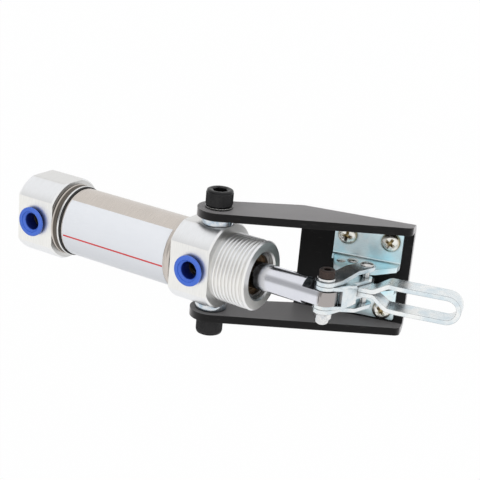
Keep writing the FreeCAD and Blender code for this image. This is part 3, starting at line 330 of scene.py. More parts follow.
def corner_shade_mask(tree, reach_mm):
    """Mask for painted shade: 0 in corners and between close pieces, 1 on open faces."""
    shade = tree.nodes.new("ShaderNodeAmbientOcclusion")
    shade.samples = 8
    shade.inputs["Distance"].default_value = reach_mm * MILLIMETRE
    return graded(tree, shade.outputs["AO"], 0.0, 1.0, 0.25, 0.85)


def normal(tree):
    """Direction that the surface looks in."""
    return tree.nodes.new("ShaderNodeNewGeometry").outputs["Normal"]


def edge_mask(tree, width_mm):
    """1 along a piece's outer edges, 0 on its faces."""
    bevel = tree.nodes.new("ShaderNodeBevel")
    bevel.samples = 4
    bevel.inputs["Radius"].default_value = width_mm * MILLIMETRE
    evenness = agreement(tree, bevel.outputs[0], normal(tree))
    return graded(tree, evenness, 1.0, 0.0, 0.86, 0.99)


def black_coat():
    """Satin black coat: fine orange peel, faint grey scuffs, edges rubbed lighter."""
    material, tree, skin = blank("black_coat")
    place = where(tree)
    patches = cloud(tree, place, 14.0)
    scratches = cloud(tree, where(tree, (0.35, 1.6, 1.0)), 1.6, 8.0)
    scuffs = graded(tree, scratches, 0.0, 1.0, 0.60, 0.78)
    base = blended(tree, patches, (0.0030, 0.0030, 0.0034), (0.0055, 0.0052, 0.0050))
    scuffed = blended(tree, scuffs, base, (0.022, 0.021, 0.020))
    rubbed = blended(tree, edge_mask(tree, 0.35), scuffed, (0.030, 0.029, 0.028))
    skin.inputs["Specular IOR Level"].default_value = 0.08
    skin.inputs["Sheen Weight"].default_value = 1.0
    skin.inputs["Sheen Roughness"].default_value = 0.42
    skin.inputs["Sheen Tint"].default_value = (1.0, 0.965, 0.965, 1)
    painted(tree, skin, rubbed, graded(tree, patches, 0.34, 0.46), cloud(tree, place, 0.45, 3.0), 0.012)
    return material


softened("bracket", "bracket_folded", black_coat(), "frame", "black_steel", BRACKET_EDGE, 3)

# Base plates: a mirrored pair pressed from 2 mm strip, cheek and flange in one, bright zinc
# plated with the bluish passivation such plating has. Four screws hold them to the bracket.
PLATE_EDGE = 0.16
EDGE_LINE = 0.3
# Colour of the painted shade in corners and between close pieces.
CORNER_SHADE = (0.10, 0.105, 0.11)
ROLLED_GREY = (0.30, 0.32, 0.34)


def plated(name, cool, warm, sheen, grain=(0.25, 1, 1), patch_mm=6.0, relief=0.004, edges=None, metal=1.0):
    """Plated steel: cloudy tint, fine rolling lines, uneven gloss, painted shade in its corners and, if
    given, a set colour along its edges.
    """
    material, tree, skin = blank(name)
    skin.inputs["Metallic"].default_value = metal
    place = where(tree)
    patches = cloud(tree, place, patch_mm, 3.0)
    lines = cloud(tree, where(tree, grain), 0.22, 6.0)
    tinted = blended(tree, graded(tree, patches, 0.0, 1.0, 0.35, 0.65), cool, warm)
    lined_and_edged = blended(tree, graded(tree, lines, 0.0, 0.16, 0.45, 0.75), tinted, ROLLED_GREY)
    # The given edge colour: darker lines on the strips, a painted highlight on the washers.
    if edges:
        lined_and_edged = blended(tree, edge_mask(tree, EDGE_LINE), lined_and_edged, edges)
    # Painted shade: corners and gaps between close pieces are darkened.
    corner_shaded = blended(tree, corner_shade_mask(tree, 1.6), CORNER_SHADE, lined_and_edged)
    painted(tree, skin, corner_shaded, graded(tree, patches, sheen - 0.05, sheen + 0.08), lines, relief)
    return material


zinc = plated("blue_zinc", (0.62, 0.90, 0.98), (0.87, 0.955, 0.975), 0.36, patch_mm=9.0)
for side in ("left", "right"):
    softened("base_plate_" + side, "base_cheek_" + side, zinc, "frame", "zinc_plated_steel", PLATE_EDGE)

# Base screws: four M4 pan heads with a cross recess, yellowish zinc, driven into threads
# in the bracket's web. The bottoms of the recesses are painted dark brown as shade.
SCREW_MIDDLE = (5.05, 0.0, 5.0)
SCREW_PITCH = (16.0, 26.6)
SCREW_SEAT = 5.0
SCREW_TURN = 1.4
SCREW_SEED = 5
PAN_SOFT = 0.25
PAN_STEPS = 72
RECESS_SOFT = 0.07
RECESS_SHADE_LEVELS = (6.1 * MILLIMETRE, 6.9 * MILLIMETRE)
CORNER_STEPS = 4
PAN_PROFILE = ((0.0, 0.0), (0.0, 3.5), (0.85, 3.5), (1.6, 3.1), (2.12, 2.2), (2.28, 1.1), (2.3, 0.0))
CROSS_LEVELS = ((0.75, 0.62, 0.34), (1.35, 1.25, 0.42), (2.0, 2.0, 0.52), (2.5, 2.3, 0.62))


def eased(points, radius, loop):
    """Row of profile points with its corners rounded."""
    out = []
    count = len(points)
    for i, point in enumerate(points):
        if not loop and i in (0, count - 1):
            out.append(Vector(point))
            continue
        corner = Vector(point)
        back = Vector(points[i - 1]) - corner
        ahead = Vector(points[(i + 1) % count]) - corner
        reach = min(radius, back.length * 0.45, ahead.length * 0.45)
        start = corner + back.normalized() * reach
        end = corner + ahead.normalized() * reach
        for k in range(CORNER_STEPS):
            t = k / (CORNER_STEPS - 1)
            out.append(start * (1 - t) ** 2 + corner * 2 * t * (1 - t) + end * t * t)
    return out


def skinned(name, rows, place, loop=False):
    """Mesh over rows of points that go round X, put in its place; a row of one point is a tip."""
    work = bmesh.new()
    steps = max(len(row) for row in rows)
    rings = [[work.verts.new(spot) for spot in row] for row in rows]
    pairs = list(zip(rings, rings[1:]))
    if loop:
        pairs.append((rings[-1], rings[0]))
    for low, high in pairs:
        for i in range(steps):
            j = (i + 1) % steps
            if len(low) == 1:
                work.faces.new((low[0], high[j], high[i]))
            elif len(high) == 1:
                work.faces.new((low[i], low[j], high[0]))
            else:
                work.faces.new((low[i], low[j], high[j], high[i]))
    bmesh.ops.remove_doubles(work, verts=work.verts, dist=TOUCHING)
    bmesh.ops.recalc_face_normals(work, faces=work.faces)
    work.transform(place)
    return baked(work, name)


def circle_row(along, reach, steps):
    """Row of points round X; reach is a radius or a function of the angle."""
    row = []
    for angle in (2 * math.pi * i / steps for i in range(steps)):
        radius = reach(angle) if callable(reach) else reach
        row.append((along, radius * math.sin(angle), radius * math.cos(angle)))
    return row


def lathe(name, profile, place, ease=0.0, steps=96, loop=False):
    """Mesh turned round X from points given as (along, radius), then put in its place."""
    points = eased(profile, ease, loop) if ease else [Vector(p) for p in profile]
    rows = [circle_row(p.x, p.y, steps) if p.y > 0 else [(p.x, 0, 0)] for p in points]
    return skinned(name, rows, place, loop)


def upright(height):
    """Place of a piece turned round Z, its foot at a height in millimetres."""
    turn = Matrix.Rotation(math.radians(-90), 4, "Y")
    return Matrix.Translation((0, 0, height)) @ turn


def cross_punch():
    """Solid of the driver's point: a plus that narrows as it goes down."""
    work = bmesh.new()
    rings = []
    for height, reach, half in CROSS_LEVELS:
        outline = [(reach, -half), (reach, half), (half, half)]
        turned = [
            (x * math.cos(t) - y * math.sin(t), x * math.sin(t) + y * math.cos(t))
            for t in (math.radians(90 * quarter) for quarter in range(4)) for x, y in outline
        ]
        rings.append([work.verts.new((x, y, height)) for x, y in turned])
    count = len(rings[0])
    for low, high in zip(rings, rings[1:]):
        for i in range(count):
            j = (i + 1) % count
            work.faces.new((low[i], low[j], high[j], high[i]))
    work.faces.new(rings[0][::-1])
    work.faces.new(rings[-1])
    bmesh.ops.recalc_face_normals(work, faces=work.faces)
    return baked(work, "cross_punch")


def pan_screw():
    """Pan head with the cross punched into it and the recess's edges eased."""
    blank_mesh = lathe("pan_blank", PAN_PROFILE, upright(0), PAN_SOFT, PAN_STEPS)
    head = placed("pan_blank", blank_mesh)
    punch = placed("punch", cross_punch())
    strike = head.modifiers.new("strike", "BOOLEAN")
    strike.operation = "DIFFERENCE"
    strike.solver = "EXACT"
    strike.object = punch
    bpy.context.view_layer.update()
    made = head.evaluated_get(bpy.context.evaluated_depsgraph_get())
    work = bmesh.new()
    work.from_mesh(bpy.data.meshes.new_from_object(made))
    for piece in (head, punch):
        bpy.data.objects.remove(piece)
    work.transform(Matrix.Scale(MILLIMETRE, 4))
    bmesh.ops.remove_doubles(work, verts=work.verts, dist=TOUCHING)
    return rounded_off(work, "pan_head", RECESS_SOFT)


def new_tree(name, sizes):
    """Geometry tree with named inputs: sizes is a row of (name, socket type, default)."""
    tree = bpy.data.node_groups.new(name, "GeometryNodeTree")
    tree.interface.new_socket("Geometry", in_out="INPUT", socket_type="NodeSocketGeometry")
    tree.interface.new_socket("Geometry", in_out="OUTPUT", socket_type="NodeSocketGeometry")
    for label, kind, default in sizes:
        socket = tree.interface.new_socket(label, in_out="INPUT", socket_type=kind)
        if default is not None:
            socket.default_value = default
    return tree, tree.nodes.new("NodeGroupInput"), tree.nodes.new("NodeGroupOutput")


def finish_tree(tree, given, out, geometry):
    """Makes the instances real, gives them their material and closes the tree."""
    real = tree.nodes.new("GeometryNodeRealizeInstances")
    paint = tree.nodes.new("GeometryNodeSetMaterial")
    tree.links.new(geometry, real.inputs[0])
    tree.links.new(real.outputs[0], paint.inputs["Geometry"])
    tree.links.new(given.outputs["Material"], paint.inputs["Material"])
    tree.links.new(paint.outputs[0], out.inputs[0])


def grown(name, tree, start, values):
    """Plain mesh that a geometry tree makes from a starting mesh."""
    holder = placed(name + "_start", start)
    modifier = holder.modifiers.new("grow", "NODES")
    modifier.node_group = tree
    for item in tree.interface.items_tree:
        if item.in_out == "INPUT" and item.name in values:
            modifier[item.identifier] = values[item.name]
    bpy.context.view_layer.update()
    made = holder.evaluated_get(bpy.context.evaluated_depsgraph_get())
    mesh = bpy.data.meshes.new_from_object(made)
    mesh.name = name
    holder.modifiers.clear()
    bpy.data.objects.remove(holder)
    return mesh


def points_mesh(name, places):
    """Loose points in millimetres, on which pieces are set."""
    mesh = bpy.data.meshes.new(name)
    mesh.from_pydata([Vector(p) * MILLIMETRE for p in places], [], [])
    return mesh


def set_on_points_tree():
    """Tree that sets one fastener on each point, each turned a little differently."""
    tree, given, out = new_tree("fasteners_on_points", (
        ("Fastener", "NodeSocketObject", None),
        ("Most Turn", "NodeSocketFloat", 1.2),
        ("Seed", "NodeSocketInt", 3),
        ("Material", "NodeSocketMaterial", None),
    ))
    info = tree.nodes.new("GeometryNodeObjectInfo")
    chance = tree.nodes.new("FunctionNodeRandomValue")
    chance.data_type = "FLOAT"
    floats = [s for s in chance.inputs if s.type == "VALUE"]
    tree.links.new(given.outputs["Most Turn"], floats[1])
    tree.links.new(given.outputs["Seed"], chance.inputs["Seed"])
    axis = tree.nodes.new("ShaderNodeCombineXYZ")
    tree.links.new([s for s in chance.outputs if s.type == "VALUE"][0], axis.inputs["Z"])
    spread = tree.nodes.new("GeometryNodeInstanceOnPoints")
    tree.links.new(given.outputs["Geometry"], spread.inputs["Points"])
    tree.links.new(given.outputs["Fastener"], info.inputs["Object"])
    tree.links.new(info.outputs["Geometry"], spread.inputs["Instance"])
    tree.links.new(axis.outputs[0], spread.inputs["Rotation"])
    finish_tree(tree, given, out, spread.outputs[0])
    return tree


def coordinate(tree, place, letter):
    """One coordinate of a place or direction."""
    split = tree.nodes.new("ShaderNodeSeparateXYZ")
    tree.links.new(place, split.inputs[0])
    return split.outputs[letter]


def screw_metal():
    """Yellowish zinc screws, with painted shade, dark brown, in the bottom of the cross."""
    material, tree, skin = blank("yellowish_zinc")
    skin.inputs["Metallic"].default_value = 1.0
    place = where(tree)
    patches = cloud(tree, place, 1.6, 3.0)
    body = blended(tree, graded(tree, patches, 0.0, 1.0), (0.80, 0.78, 0.71), (0.91, 0.91, 0.88))
    # Painted shade: the bottom of the cross recess turns dark brown.
    low = graded(tree, coordinate(tree, place, "Z"), 1.0, 0.0, *RECESS_SHADE_LEVELS)
    tint = blended(tree, low, body, (0.34, 0.26, 0.13))
    painted(tree, skin, tint, graded(tree, patches, 0.18, 0.32), cloud(tree, place, 0.3, 4.0), 0.006)
    return material


fasteners = set_on_points_tree()
yellow_zinc = screw_metal()
pan_head = bpy.data.objects.new("pan_head", pan_screw())
seats = [
    (SCREW_MIDDLE[0] + i * SCREW_PITCH[0] / 2, j * SCREW_PITCH[1] / 2, SCREW_SEAT)
    for i in (-1, 1) for j in (-1, 1)
]
screw_mesh = grown("base_screw_heads", fasteners, points_mesh("screw_seats", seats), {
    "Fastener": pan_head, "Most Turn": SCREW_TURN, "Seed": SCREW_SEED, "Material": yellow_zinc,
})
bpy.data.objects.remove(pan_head)
show("base_screw_heads", shaded(screw_mesh), yellow_zinc, "frame", "screw_zinc",
     *["base_screw_" + end + "_" + side for end in ("front", "rear") for side in ("left", "right")])

# Rivets: steel pins headed cold at both ends. The lower two hold the clamp bar and the link
# between the cheeks, the third is the handle's pivot. Heads are domed and slightly dished.
RIVET_DISH = 0.06
RIVET_SOFT = 0.12
RIVET_STEPS = 64
RIVET_SHANK = 1.2
CHEEK_SIDE = 5.35
RIVETS = (
    ("bar_rivet", (1.0, 9.8), CHEEK_SIDE, 2.1, 0.75, "frame", "bar_pivot_rivet"),
    ("link_rivet", (-3.0, 12.0), CHEEK_SIDE, 1.7, 0.4, "frame", "link_pivot_rivet"),
    ("handle_rivet", (7.8, 18.2), 7.9, 2.4, 1.0, "handle", "handle_pivot_rivet"),
)


def crosswise(x, y, z):
    """Place of a piece turned round Y, its foot at a point in millimetres."""
    turn = Matrix.Rotation(math.radians(90), 4, "Z")
    return Matrix.Scale(MILLIMETRE, 4) @ Matrix.Translation((x, y, z)) @ turn


def rivet(name, centre, grip, head_radius, head, material, body, node):
    """Rivet through both sides, its heads domed by the setting tool."""
    far = grip + head
    half = (
        (far - RIVET_DISH, 0.0), (far, 0.35 * head_radius), (far - 0.14 * head, 0.62 * head_radius),
        (far - 0.5 * head, 0.92 * head_radius), (grip + 0.12 * head, head_radius),
        (grip, 0.97 * head_radius), (grip, RIVET_SHANK),
    )
    other = tuple((-along, radius) for along, radius in half[::-1])
    place = crosswise(centre[0], 0, centre[1])
    mesh = lathe(name, half + other, place, RIVET_SOFT, RIVET_STEPS)
    show(name, mesh, material, body, "rivet_steel", node)


rivet_steel = plated("rivet_steel", (0.60, 0.60, 0.60), (0.82, 0.81, 0.79), 0.24, (1, 1, 1), 1.2, 0.003)
for name, centre, grip, head_radius, head, body, node in RIVETS:
    rivet(name, centre, grip, head_radius, head, rivet_steel, body, node)

# Clamp bar: one strip of bright zinc-plated steel folded back on itself to a long loop,
# dog-legged in behind the slot and pinned in the cheeks. Its plating is a little milky.
STRIP_EDGE = 0.22
bar_strip = plated("bar_strip", (0.66, 0.75, 0.80), (0.90, 0.91, 0.90), 0.24,
                   (0.12, 1, 1), 5.0, 0.003, (0.17, 0.18, 0.19), 0.86)
softened("clamp_bar", "clamp_bar_loop", bar_strip, "arm", "polished_strip", STRIP_EDGE)

# Handle: a folded channel between two pressed plates of bright plated strip, riveted together.
# The cylinder's rod takes hold between the plates where a hand would hold the usual lever.
bright_strip = plated("bright_strip", (0.66, 0.75, 0.80), (0.90, 0.91, 0.90), 0.20,
                      (0.12, 1, 1), 5.0, 0.003, (0.34, 0.36, 0.38))
softened("handle_channel", "handle_folded_channel", bright_strip, "handle", "polished_strip", STRIP_EDGE)
for side in ("left", "right"):
    softened("handle_plate_" + side, "handle_side_" + side, bright_strip, "handle", "polished_strip",
             STRIP_EDGE)

# Handle bolt: a small socket-head screw with its oily brown-black finish, a washer under
# its head, and a bright hexagon cap nut on a thinner washer at the other side.
HEX_TURN = math.radians(60)
PIN_X, PIN_Z = -2.9, 34.8
PLATE_SIDE = 5.85
BOLT_HEAD_RADIUS = 2.68
BOLT_HEAD = 3.0
BOLT_SOCKET = 2.5
BOLT_SOCKET_DEPTH = 1.6
BOLT_SHANK = 1.5
BOLT_KNURL = (48, 2.67, 0.08, 0.35, 2.45)
BOLT_PAST_PLATE = 2.9
HEAD_WASHER = 1.0
NUT_WASHER = 0.5
WASHER_RADIUS = 3.2
WASHER_BORE = 1.55
WASHER_SOFT = 0.14
WASHER_STEPS = 72
NUT_ACROSS = 5.5
KNURL_SINK = 0.1


def hexed(angle, across):
    """Distance from the middle of a hexagon to its side in a direction."""
    return across / 2 / math.cos((angle + HEX_TURN / 2) % HEX_TURN - HEX_TURN / 2)


def screw_body(name, profile, across, place, steps=96):
    """Turned piece with flats: points are (along, radius, shape), shape 'hex' keeps the point
    within the hexagon, 'round' leaves it on its circle."""
    rows = []
    for along, radius, shape in profile:
        if not radius:
            rows.append([(along, 0, 0)])
        elif shape == "hex":
            rows.append(circle_row(along, lambda angle: min(radius, hexed(angle, across)), steps))
        else:
            rows.append(circle_row(along, radius, steps))
    return skinned(name, rows, place)


def cap_screw_profile(head_radius, head, socket, depth, shank, reach):
    """Profile of a socket-head screw from its point to the bottom of its socket."""
    soft = 0.07 * head_radius
    wide = 2 * head_radius
    return (
        (-reach, 0, "round"), (-reach, 0.85 * shank, "round"),
        (0.15 * shank - reach, shank, "round"), (0, shank, "round"),
        (0, head_radius - soft, "round"), (soft, head_radius, "round"),
        (head - 2 * soft, head_radius, "round"),
        (head - 0.8 * soft, head_radius - 0.5 * soft, "round"),
        (head, head_radius - 2 * soft, "round"), (head, 0.62 * socket + soft, "round"),
        (head - soft, 0.60 * socket, "hex"), (head - soft, wide, "hex"),
        (head - depth, wide, "hex"), (head - depth - 0.25 * socket, 0, "round"),
    )


def ridges_tree():
    """Tree that stands one ridge after another round an axis along X."""
    tree, given, out = new_tree("ridges_round_axis", (
        ("Ridge", "NodeSocketObject", None),
        ("Count", "NodeSocketInt", 60),
        ("Radius", "NodeSocketFloat", 0.005),
        ("Material", "NodeSocketMaterial", None),
    ))
    info = tree.nodes.new("GeometryNodeObjectInfo")
    circle = tree.nodes.new("GeometryNodeCurvePrimitiveCircle")
    stand = tree.nodes.new("GeometryNodeTransform")
    stand.inputs["Rotation"].default_value = (0, math.radians(90), 0)
    points = tree.nodes.new("GeometryNodeCurveToPoints")
    points.mode = "EVALUATED"
    spread = tree.nodes.new("GeometryNodeInstanceOnPoints")
    aim = tree.nodes.new("FunctionNodeAlignRotationToVector")
    aim.axis = "Z"
    aim.pivot_axis = "X"
    spot = tree.nodes.new("GeometryNodeInputPosition")
    tree.links.new(given.outputs["Count"], circle.inputs["Resolution"])
    tree.links.new(given.outputs["Radius"], circle.inputs["Radius"])
    tree.links.new(circle.outputs[0], stand.inputs["Geometry"])
    tree.links.new(stand.outputs[0], points.inputs["Curve"])
    tree.links.new(points.outputs["Points"], spread.inputs["Points"])
    tree.links.new(given.outputs["Ridge"], info.inputs["Object"])
    tree.links.new(info.outputs["Geometry"], spread.inputs["Instance"])
    tree.links.new(spot.outputs[0], aim.inputs["Vector"])
    tree.links.new(aim.outputs[0], spread.inputs["Rotation"])
    finish_tree(tree, given, out, spread.outputs[0])
    return tree


def ridge_mesh(start, end, half_width, rise):
    """One straight ridge along X with a peaked back and sloped ends, sunk a little into its head."""
    slope = 2 * rise
    mesh = bpy.data.meshes.new("ridge")
    corners = ((start, -half_width), (end, -half_width), (end, half_width), (start, half_width))
    points = [(x, y, z) for z in (-KNURL_SINK, 0) for x, y in corners]
    points += [(start + slope, 0, rise), (end - slope, 0, rise)]
    faces = [
        (0, 3, 2, 1), (0, 1, 5, 4), (2, 3, 7, 6), (1, 2, 6, 9, 5), (3, 0, 4, 8, 7),
        (4, 5, 9, 8), (6, 7, 8, 9),
    ]
    mesh.from_pydata([Vector(p) * MILLIMETRE for p in points], [], faces)
    return mesh


def knurled_screw(name, profile, socket, knurl, place, material):
    """Socket-head screw with straight knurling; knurl is (count, radius, rise, start, end)."""
    count, radius, rise, start, end = knurl
    body = screw_body(name, profile, socket, Matrix.Scale(MILLIMETRE, 4))
    half_width = math.pi * radius / count
    ridge = bpy.data.objects.new("ridge", ridge_mesh(start, end, 0.9 * half_width, rise))
    seed = bpy.data.meshes.new("nothing")
    ridges = grown(name + "_knurl", knurling, seed, {
        "Ridge": ridge, "Count": count, "Radius": radius * MILLIMETRE, "Material": material,
    })
    bpy.data.objects.remove(ridge)
    work = bmesh.new()
    work.from_mesh(body)
    work.from_mesh(ridges)
    work.transform(place @ Matrix.Scale(1 / MILLIMETRE, 4))
    work.to_mesh(body)
    work.free()
    return shaded(body)


def burnt_black(name, tint, bare):
    """Oiled black finish on steel, rubbed through to brown or grey along its edges."""
    material, tree, skin = blank(name)
    skin.inputs["Metallic"].default_value = 0.75
    place = where(tree)
    patches = cloud(tree, place, 2.0, 4.0)
    wear_and_tang_reflection = graded(tree, patches, 0.35, 1.0)
    edge = computed(tree, "MULTIPLY", edge_mask(tree, 0.12), wear_and_tang_reflection)
    mottled = blended(tree, edge, tint, bare)
    painted(tree, skin, mottled, graded(tree, patches, 0.30, 0.42), cloud(tree, place, 0.25, 3.0), 0.006)
    return material


knurling = ridges_tree()
brown_black = burnt_black("brown_black_screw", (0.042, 0.030, 0.027), (0.15, 0.10, 0.08))
bright_nickel = plated("bright_nickel", (0.66, 0.68, 0.70), (0.88, 0.87, 0.85), 0.16, (1, 1, 1), 2.0, 0.002)
bolt_seat = PLATE_SIDE + HEAD_WASHER
bolt_profile = cap_screw_profile(BOLT_HEAD_RADIUS, BOLT_HEAD, BOLT_SOCKET, BOLT_SOCKET_DEPTH,
                                 BOLT_SHANK, bolt_seat + PLATE_SIDE + BOLT_PAST_PLATE)
bolt_mesh = knurled_screw("handle_bolt_socket", bolt_profile, BOLT_SOCKET, BOLT_KNURL,
                          crosswise(PIN_X, bolt_seat, PIN_Z), brown_black)
show("handle_bolt_socket", bolt_mesh, brown_black, "handle", "black_screw", "handle_bolt")


def tube_profile(outer, inner, thickness):
    """Section of a flat ring or short tube that starts at 0."""
    return ((0, inner), (0, outer), (thickness, outer), (thickness, inner))


def washer(name, start, thickness, node):
    """Stamped flat washer with rounded edges."""
    profile = tube_profile(WASHER_RADIUS, WASHER_BORE, thickness)
    mesh = lathe(name, profile, crosswise(PIN_X, start, PIN_Z), WASHER_SOFT, WASHER_STEPS, True)
    show(name, mesh, bright_nickel, "handle", "bright_nut", node)


washer("bolt_head_washer", PLATE_SIDE, HEAD_WASHER, "handle_washer_left")
washer("nut_washer", -PLATE_SIDE - NUT_WASHER, NUT_WASHER, "handle_washer_right")
nut_profile = (
    (0, 1.5, "round"), (0, 2.9, "hex"), (0.22, 3.3, "hex"), (1.7, 3.3, "hex"), (2.3, 2.72, "hex"),
    (2.3, 2.45, "round"), (3.1, 2.40, "round"), (3.7, 2.15, "round"), (4.2, 1.55, "round"),
    (4.5, 0.8, "round"), (4.6, 0, "round"),
)
turned_over = Matrix.Rotation(math.pi, 4, "Z")
nut_place = crosswise(PIN_X, -PLATE_SIDE - NUT_WASHER, PIN_Z) @ turned_over
show("handle_cap_nut", screw_body("handle_cap_nut", nut_profile, NUT_ACROSS, nut_place),
     bright_nickel, "handle", "bright_nut", "handle_nut")

# Link: a thick steel bar that swings between the cheeks and the channel's tongues on one
# pivot rivet and one pin. It locks the clamp when its three pivots lie on one line.
LINK_EDGE = 0.15
link_steel = plated("link_steel", (0.52, 0.55, 0.58), (0.74, 0.74, 0.73), 0.30, (0.3, 1, 1), 3.0, 0.004)
softened("link_plate", "link_bar", link_steel, "link", "link_steel", LINK_EDGE)

# Piston rod: hard-chromed bar with a flattened tang that the handle's bolt passes through.
# The piston and its rings sit on its thin end, out of sight in the barrel.
PIVOT_X, PIVOT_Z = -47.5, 23.4
AXIS_TILT = math.radians(-14.34)
ROD_EDGE = 0.3
along_cylinder = (
    Matrix.Scale(MILLIMETRE, 4) @ Matrix.Translation((PIVOT_X, 0, PIVOT_Z))
    @ Matrix.Rotation(AXIS_TILT, 4, "Y")
)
AXIS_CENTRE = (PIVOT_X * MILLIMETRE, 0, PIVOT_Z * MILLIMETRE)
MILLED_EYE = (45.2 * MILLIMETRE, 46.4 * MILLIMETRE)


def on_axis(tree, stretch=(1, 1, 1)):
    """Place measured from the cylinder's trunnion, X along its axis."""
    return where(tree, stretch, (0, -AXIS_TILT, 0), AXIS_CENTRE)


def chromed():
    """Hard chrome over a ground rod: near mirror, faint grinding rings, painted shade near close pieces and
    a darker milled eye.
    """
    material, tree, skin = blank("hard_chrome")
    skin.inputs["Metallic"].default_value = 1.0
    rings = cloud(tree, on_axis(tree, (1, 0.04, 0.04)), 0.12, 3.0)
    patches = cloud(tree, on_axis(tree), 7.0, 2.0)
    # The milled eye is painted darker: partly its bare milled steel, partly a painted reflection of the
    # dark parts round it.
    milled = graded(tree, coordinate(tree, on_axis(tree), "X"), 0.0, 1.0, *MILLED_EYE)
    bright = blended(tree, patches, (0.67, 0.68, 0.75), (0.80, 0.81, 0.85))
    wear_and_tang_reflection = blended(tree, milled, bright, (0.40, 0.37, 0.36))
    # Painted shade near the bush and the handle, where the rod runs into hollows.
    corner_shaded = blended(tree, corner_shade_mask(tree, 8.0), CORNER_SHADE, wear_and_tang_reflection)
    painted(tree, skin, corner_shaded, graded(tree, rings, 0.15, 0.22), rings, 0.0008)
    return material


chrome = chromed()
softened("piston_rod", "piston_rod_chromed", chrome, "rod", "rod_chrome", ROD_EDGE)

# Front head: turned and milled from aluminium bar, clear anodised, with two side flats for
# the trunnions, one flat for the port and an M26 x 1.5 thread on its nose.
HEAD_SOFT = 0.55
THREAD_ROOT = 12.42
NOSE_SKIN = THREAD_ROOT - 0.1
THREAD_FROM = 7.0
THREAD_TO = 19.1
THREAD_FOOT = THREAD_FROM + 0.05
THREAD_PITCH = 1.5
THREAD_TURNS = 7.6
THREAD_WIRE = 0.56
THREAD_START = -60.0
MARK_STRETCH = 0.05
SHOULDER_ENDS = (7.6 * MILLIMETRE, 8.2 * MILLIMETRE)


def end_faces(tree):
    """1 on faces that look along the cylinder's axis, 0 on its girth."""
    facing = agreement(tree, normal(tree), (math.cos(AXIS_TILT), 0, -math.sin(AXIS_TILT)))
    return graded(tree, computed(tree, "ABSOLUTE", facing), 0.0, 1.0, 0.90, 0.98)


def turning_marks(tree, size_mm, detail):
    """Tool marks left by a lathe: lines round the girth, rings on the end faces."""
    x, y, z = [coordinate(tree, on_axis(tree), letter) for letter in "XYZ"]
    squares = [computed(tree, "MULTIPLY", c, c) for c in (y, z)]
    out = computed(tree, "SQRT", computed(tree, "ADD", *squares))
    joined = tree.nodes.new("ShaderNodeCombineXYZ")
    along = computed(tree, "ADD", x, computed(tree, "MULTIPLY", out, end_faces(tree)))
    tree.links.new(along, joined.inputs["X"])
    for letter, across in (("Y", y), ("Z", z)):
        tree.links.new(computed(tree, "MULTIPLY", across, MARK_STRETCH), joined.inputs[letter])
    return cloud(tree, joined.outputs[0], size_mm, detail)


def satin_aluminium():
    """Clear-anodised aluminium: white satin, fine tool marks, painted lighter on faces turned up, with
    painted shade on faces turned sideways, on the shoulder and in corners.
    """
    material, tree, skin = blank("satin_aluminium")
    skin.inputs["Metallic"].default_value = 1.0
    lines = turning_marks(tree, 0.16, 4.0)
    patches = cloud(tree, on_axis(tree), 11.0, 3.0)
    # Painted light and shade: faces turned up get the lighter tint, faces turned sideways a greyer one.
    lit_top_tint = blended(tree, graded(tree, patches, 0.0, 1.0), (0.91, 0.905, 0.885), (0.94, 0.93, 0.895))
    sideways = computed(tree, "ABSOLUTE", coordinate(tree, normal(tree), "Y"))
    tint = blended(tree, graded(tree, sideways, 0.0, 1.0, 0.15, 0.75), lit_top_tint, (0.87, 0.88, 0.90))
    # Painted shade on faces turned fully sideways, the milled side flats among them.
    milled = blended(tree, graded(tree, sideways, 0.0, 1.0, 0.90, 0.99), tint, (0.79, 0.785, 0.775))
    # Painted shade on the end faces behind the nose, the shoulder behind the thread among them.
    behind_nose = graded(tree, coordinate(tree, on_axis(tree), "X"), 1.0, 0.0, *SHOULDER_ENDS)
    shoulder = computed(tree, "MULTIPLY", end_faces(tree), behind_nose)
    shoulder_shaded = blended(tree, shoulder, milled, (0.66, 0.66, 0.65))
    turned = blended(tree, graded(tree, lines, 0.0, 0.22, 0.4, 0.7), shoulder_shaded, (0.60, 0.60, 0.58))
    # Painted shade in corners.
    corner_shaded = blended(tree, corner_shade_mask(tree, 1.2), (0.84, 0.83, 0.81), turned)
    painted(tree, skin, corner_shaded, graded(tree, lines, 0.34, 0.44), lines, 0.004)
    return material


def thread_tree():
    """Tree that winds a round wire along a screw line, rising along Z."""
    tree, given, out = new_tree("screw_thread", (
        ("Radius", "NodeSocketFloat", 0.01242),
        ("Pitch", "NodeSocketFloat", 0.0015),
        ("Turns", "NodeSocketFloat", 8.0),
        ("Wire", "NodeSocketFloat", 0.00056),
        ("Material", "NodeSocketMaterial", None),
    ))
    spiral = tree.nodes.new("GeometryNodeCurveSpiral")
    spiral.inputs["Resolution"].default_value = 96
    height = computed(tree, "MULTIPLY", given.outputs["Pitch"], given.outputs["Turns"])
    wire = tree.nodes.new("GeometryNodeCurvePrimitiveCircle")
    wire.inputs["Resolution"].default_value = 14
    sweep = tree.nodes.new("GeometryNodeCurveToMesh")
    sweep.inputs["Fill Caps"].default_value = True
    tree.links.new(given.outputs["Turns"], spiral.inputs["Rotations"])
    tree.links.new(given.outputs["Radius"], spiral.inputs["Start Radius"])
    tree.links.new(given.outputs["Radius"], spiral.inputs["End Radius"])
    tree.links.new(height, spiral.inputs["Height"])
    tree.links.new(given.outputs["Wire"], wire.inputs["Radius"])
    tree.links.new(spiral.outputs[0], sweep.inputs["Curve"])
    tree.links.new(wire.outputs[0], sweep.inputs["Profile Curve"])
    finish_tree(tree, given, out, sweep.outputs[0])
    return tree


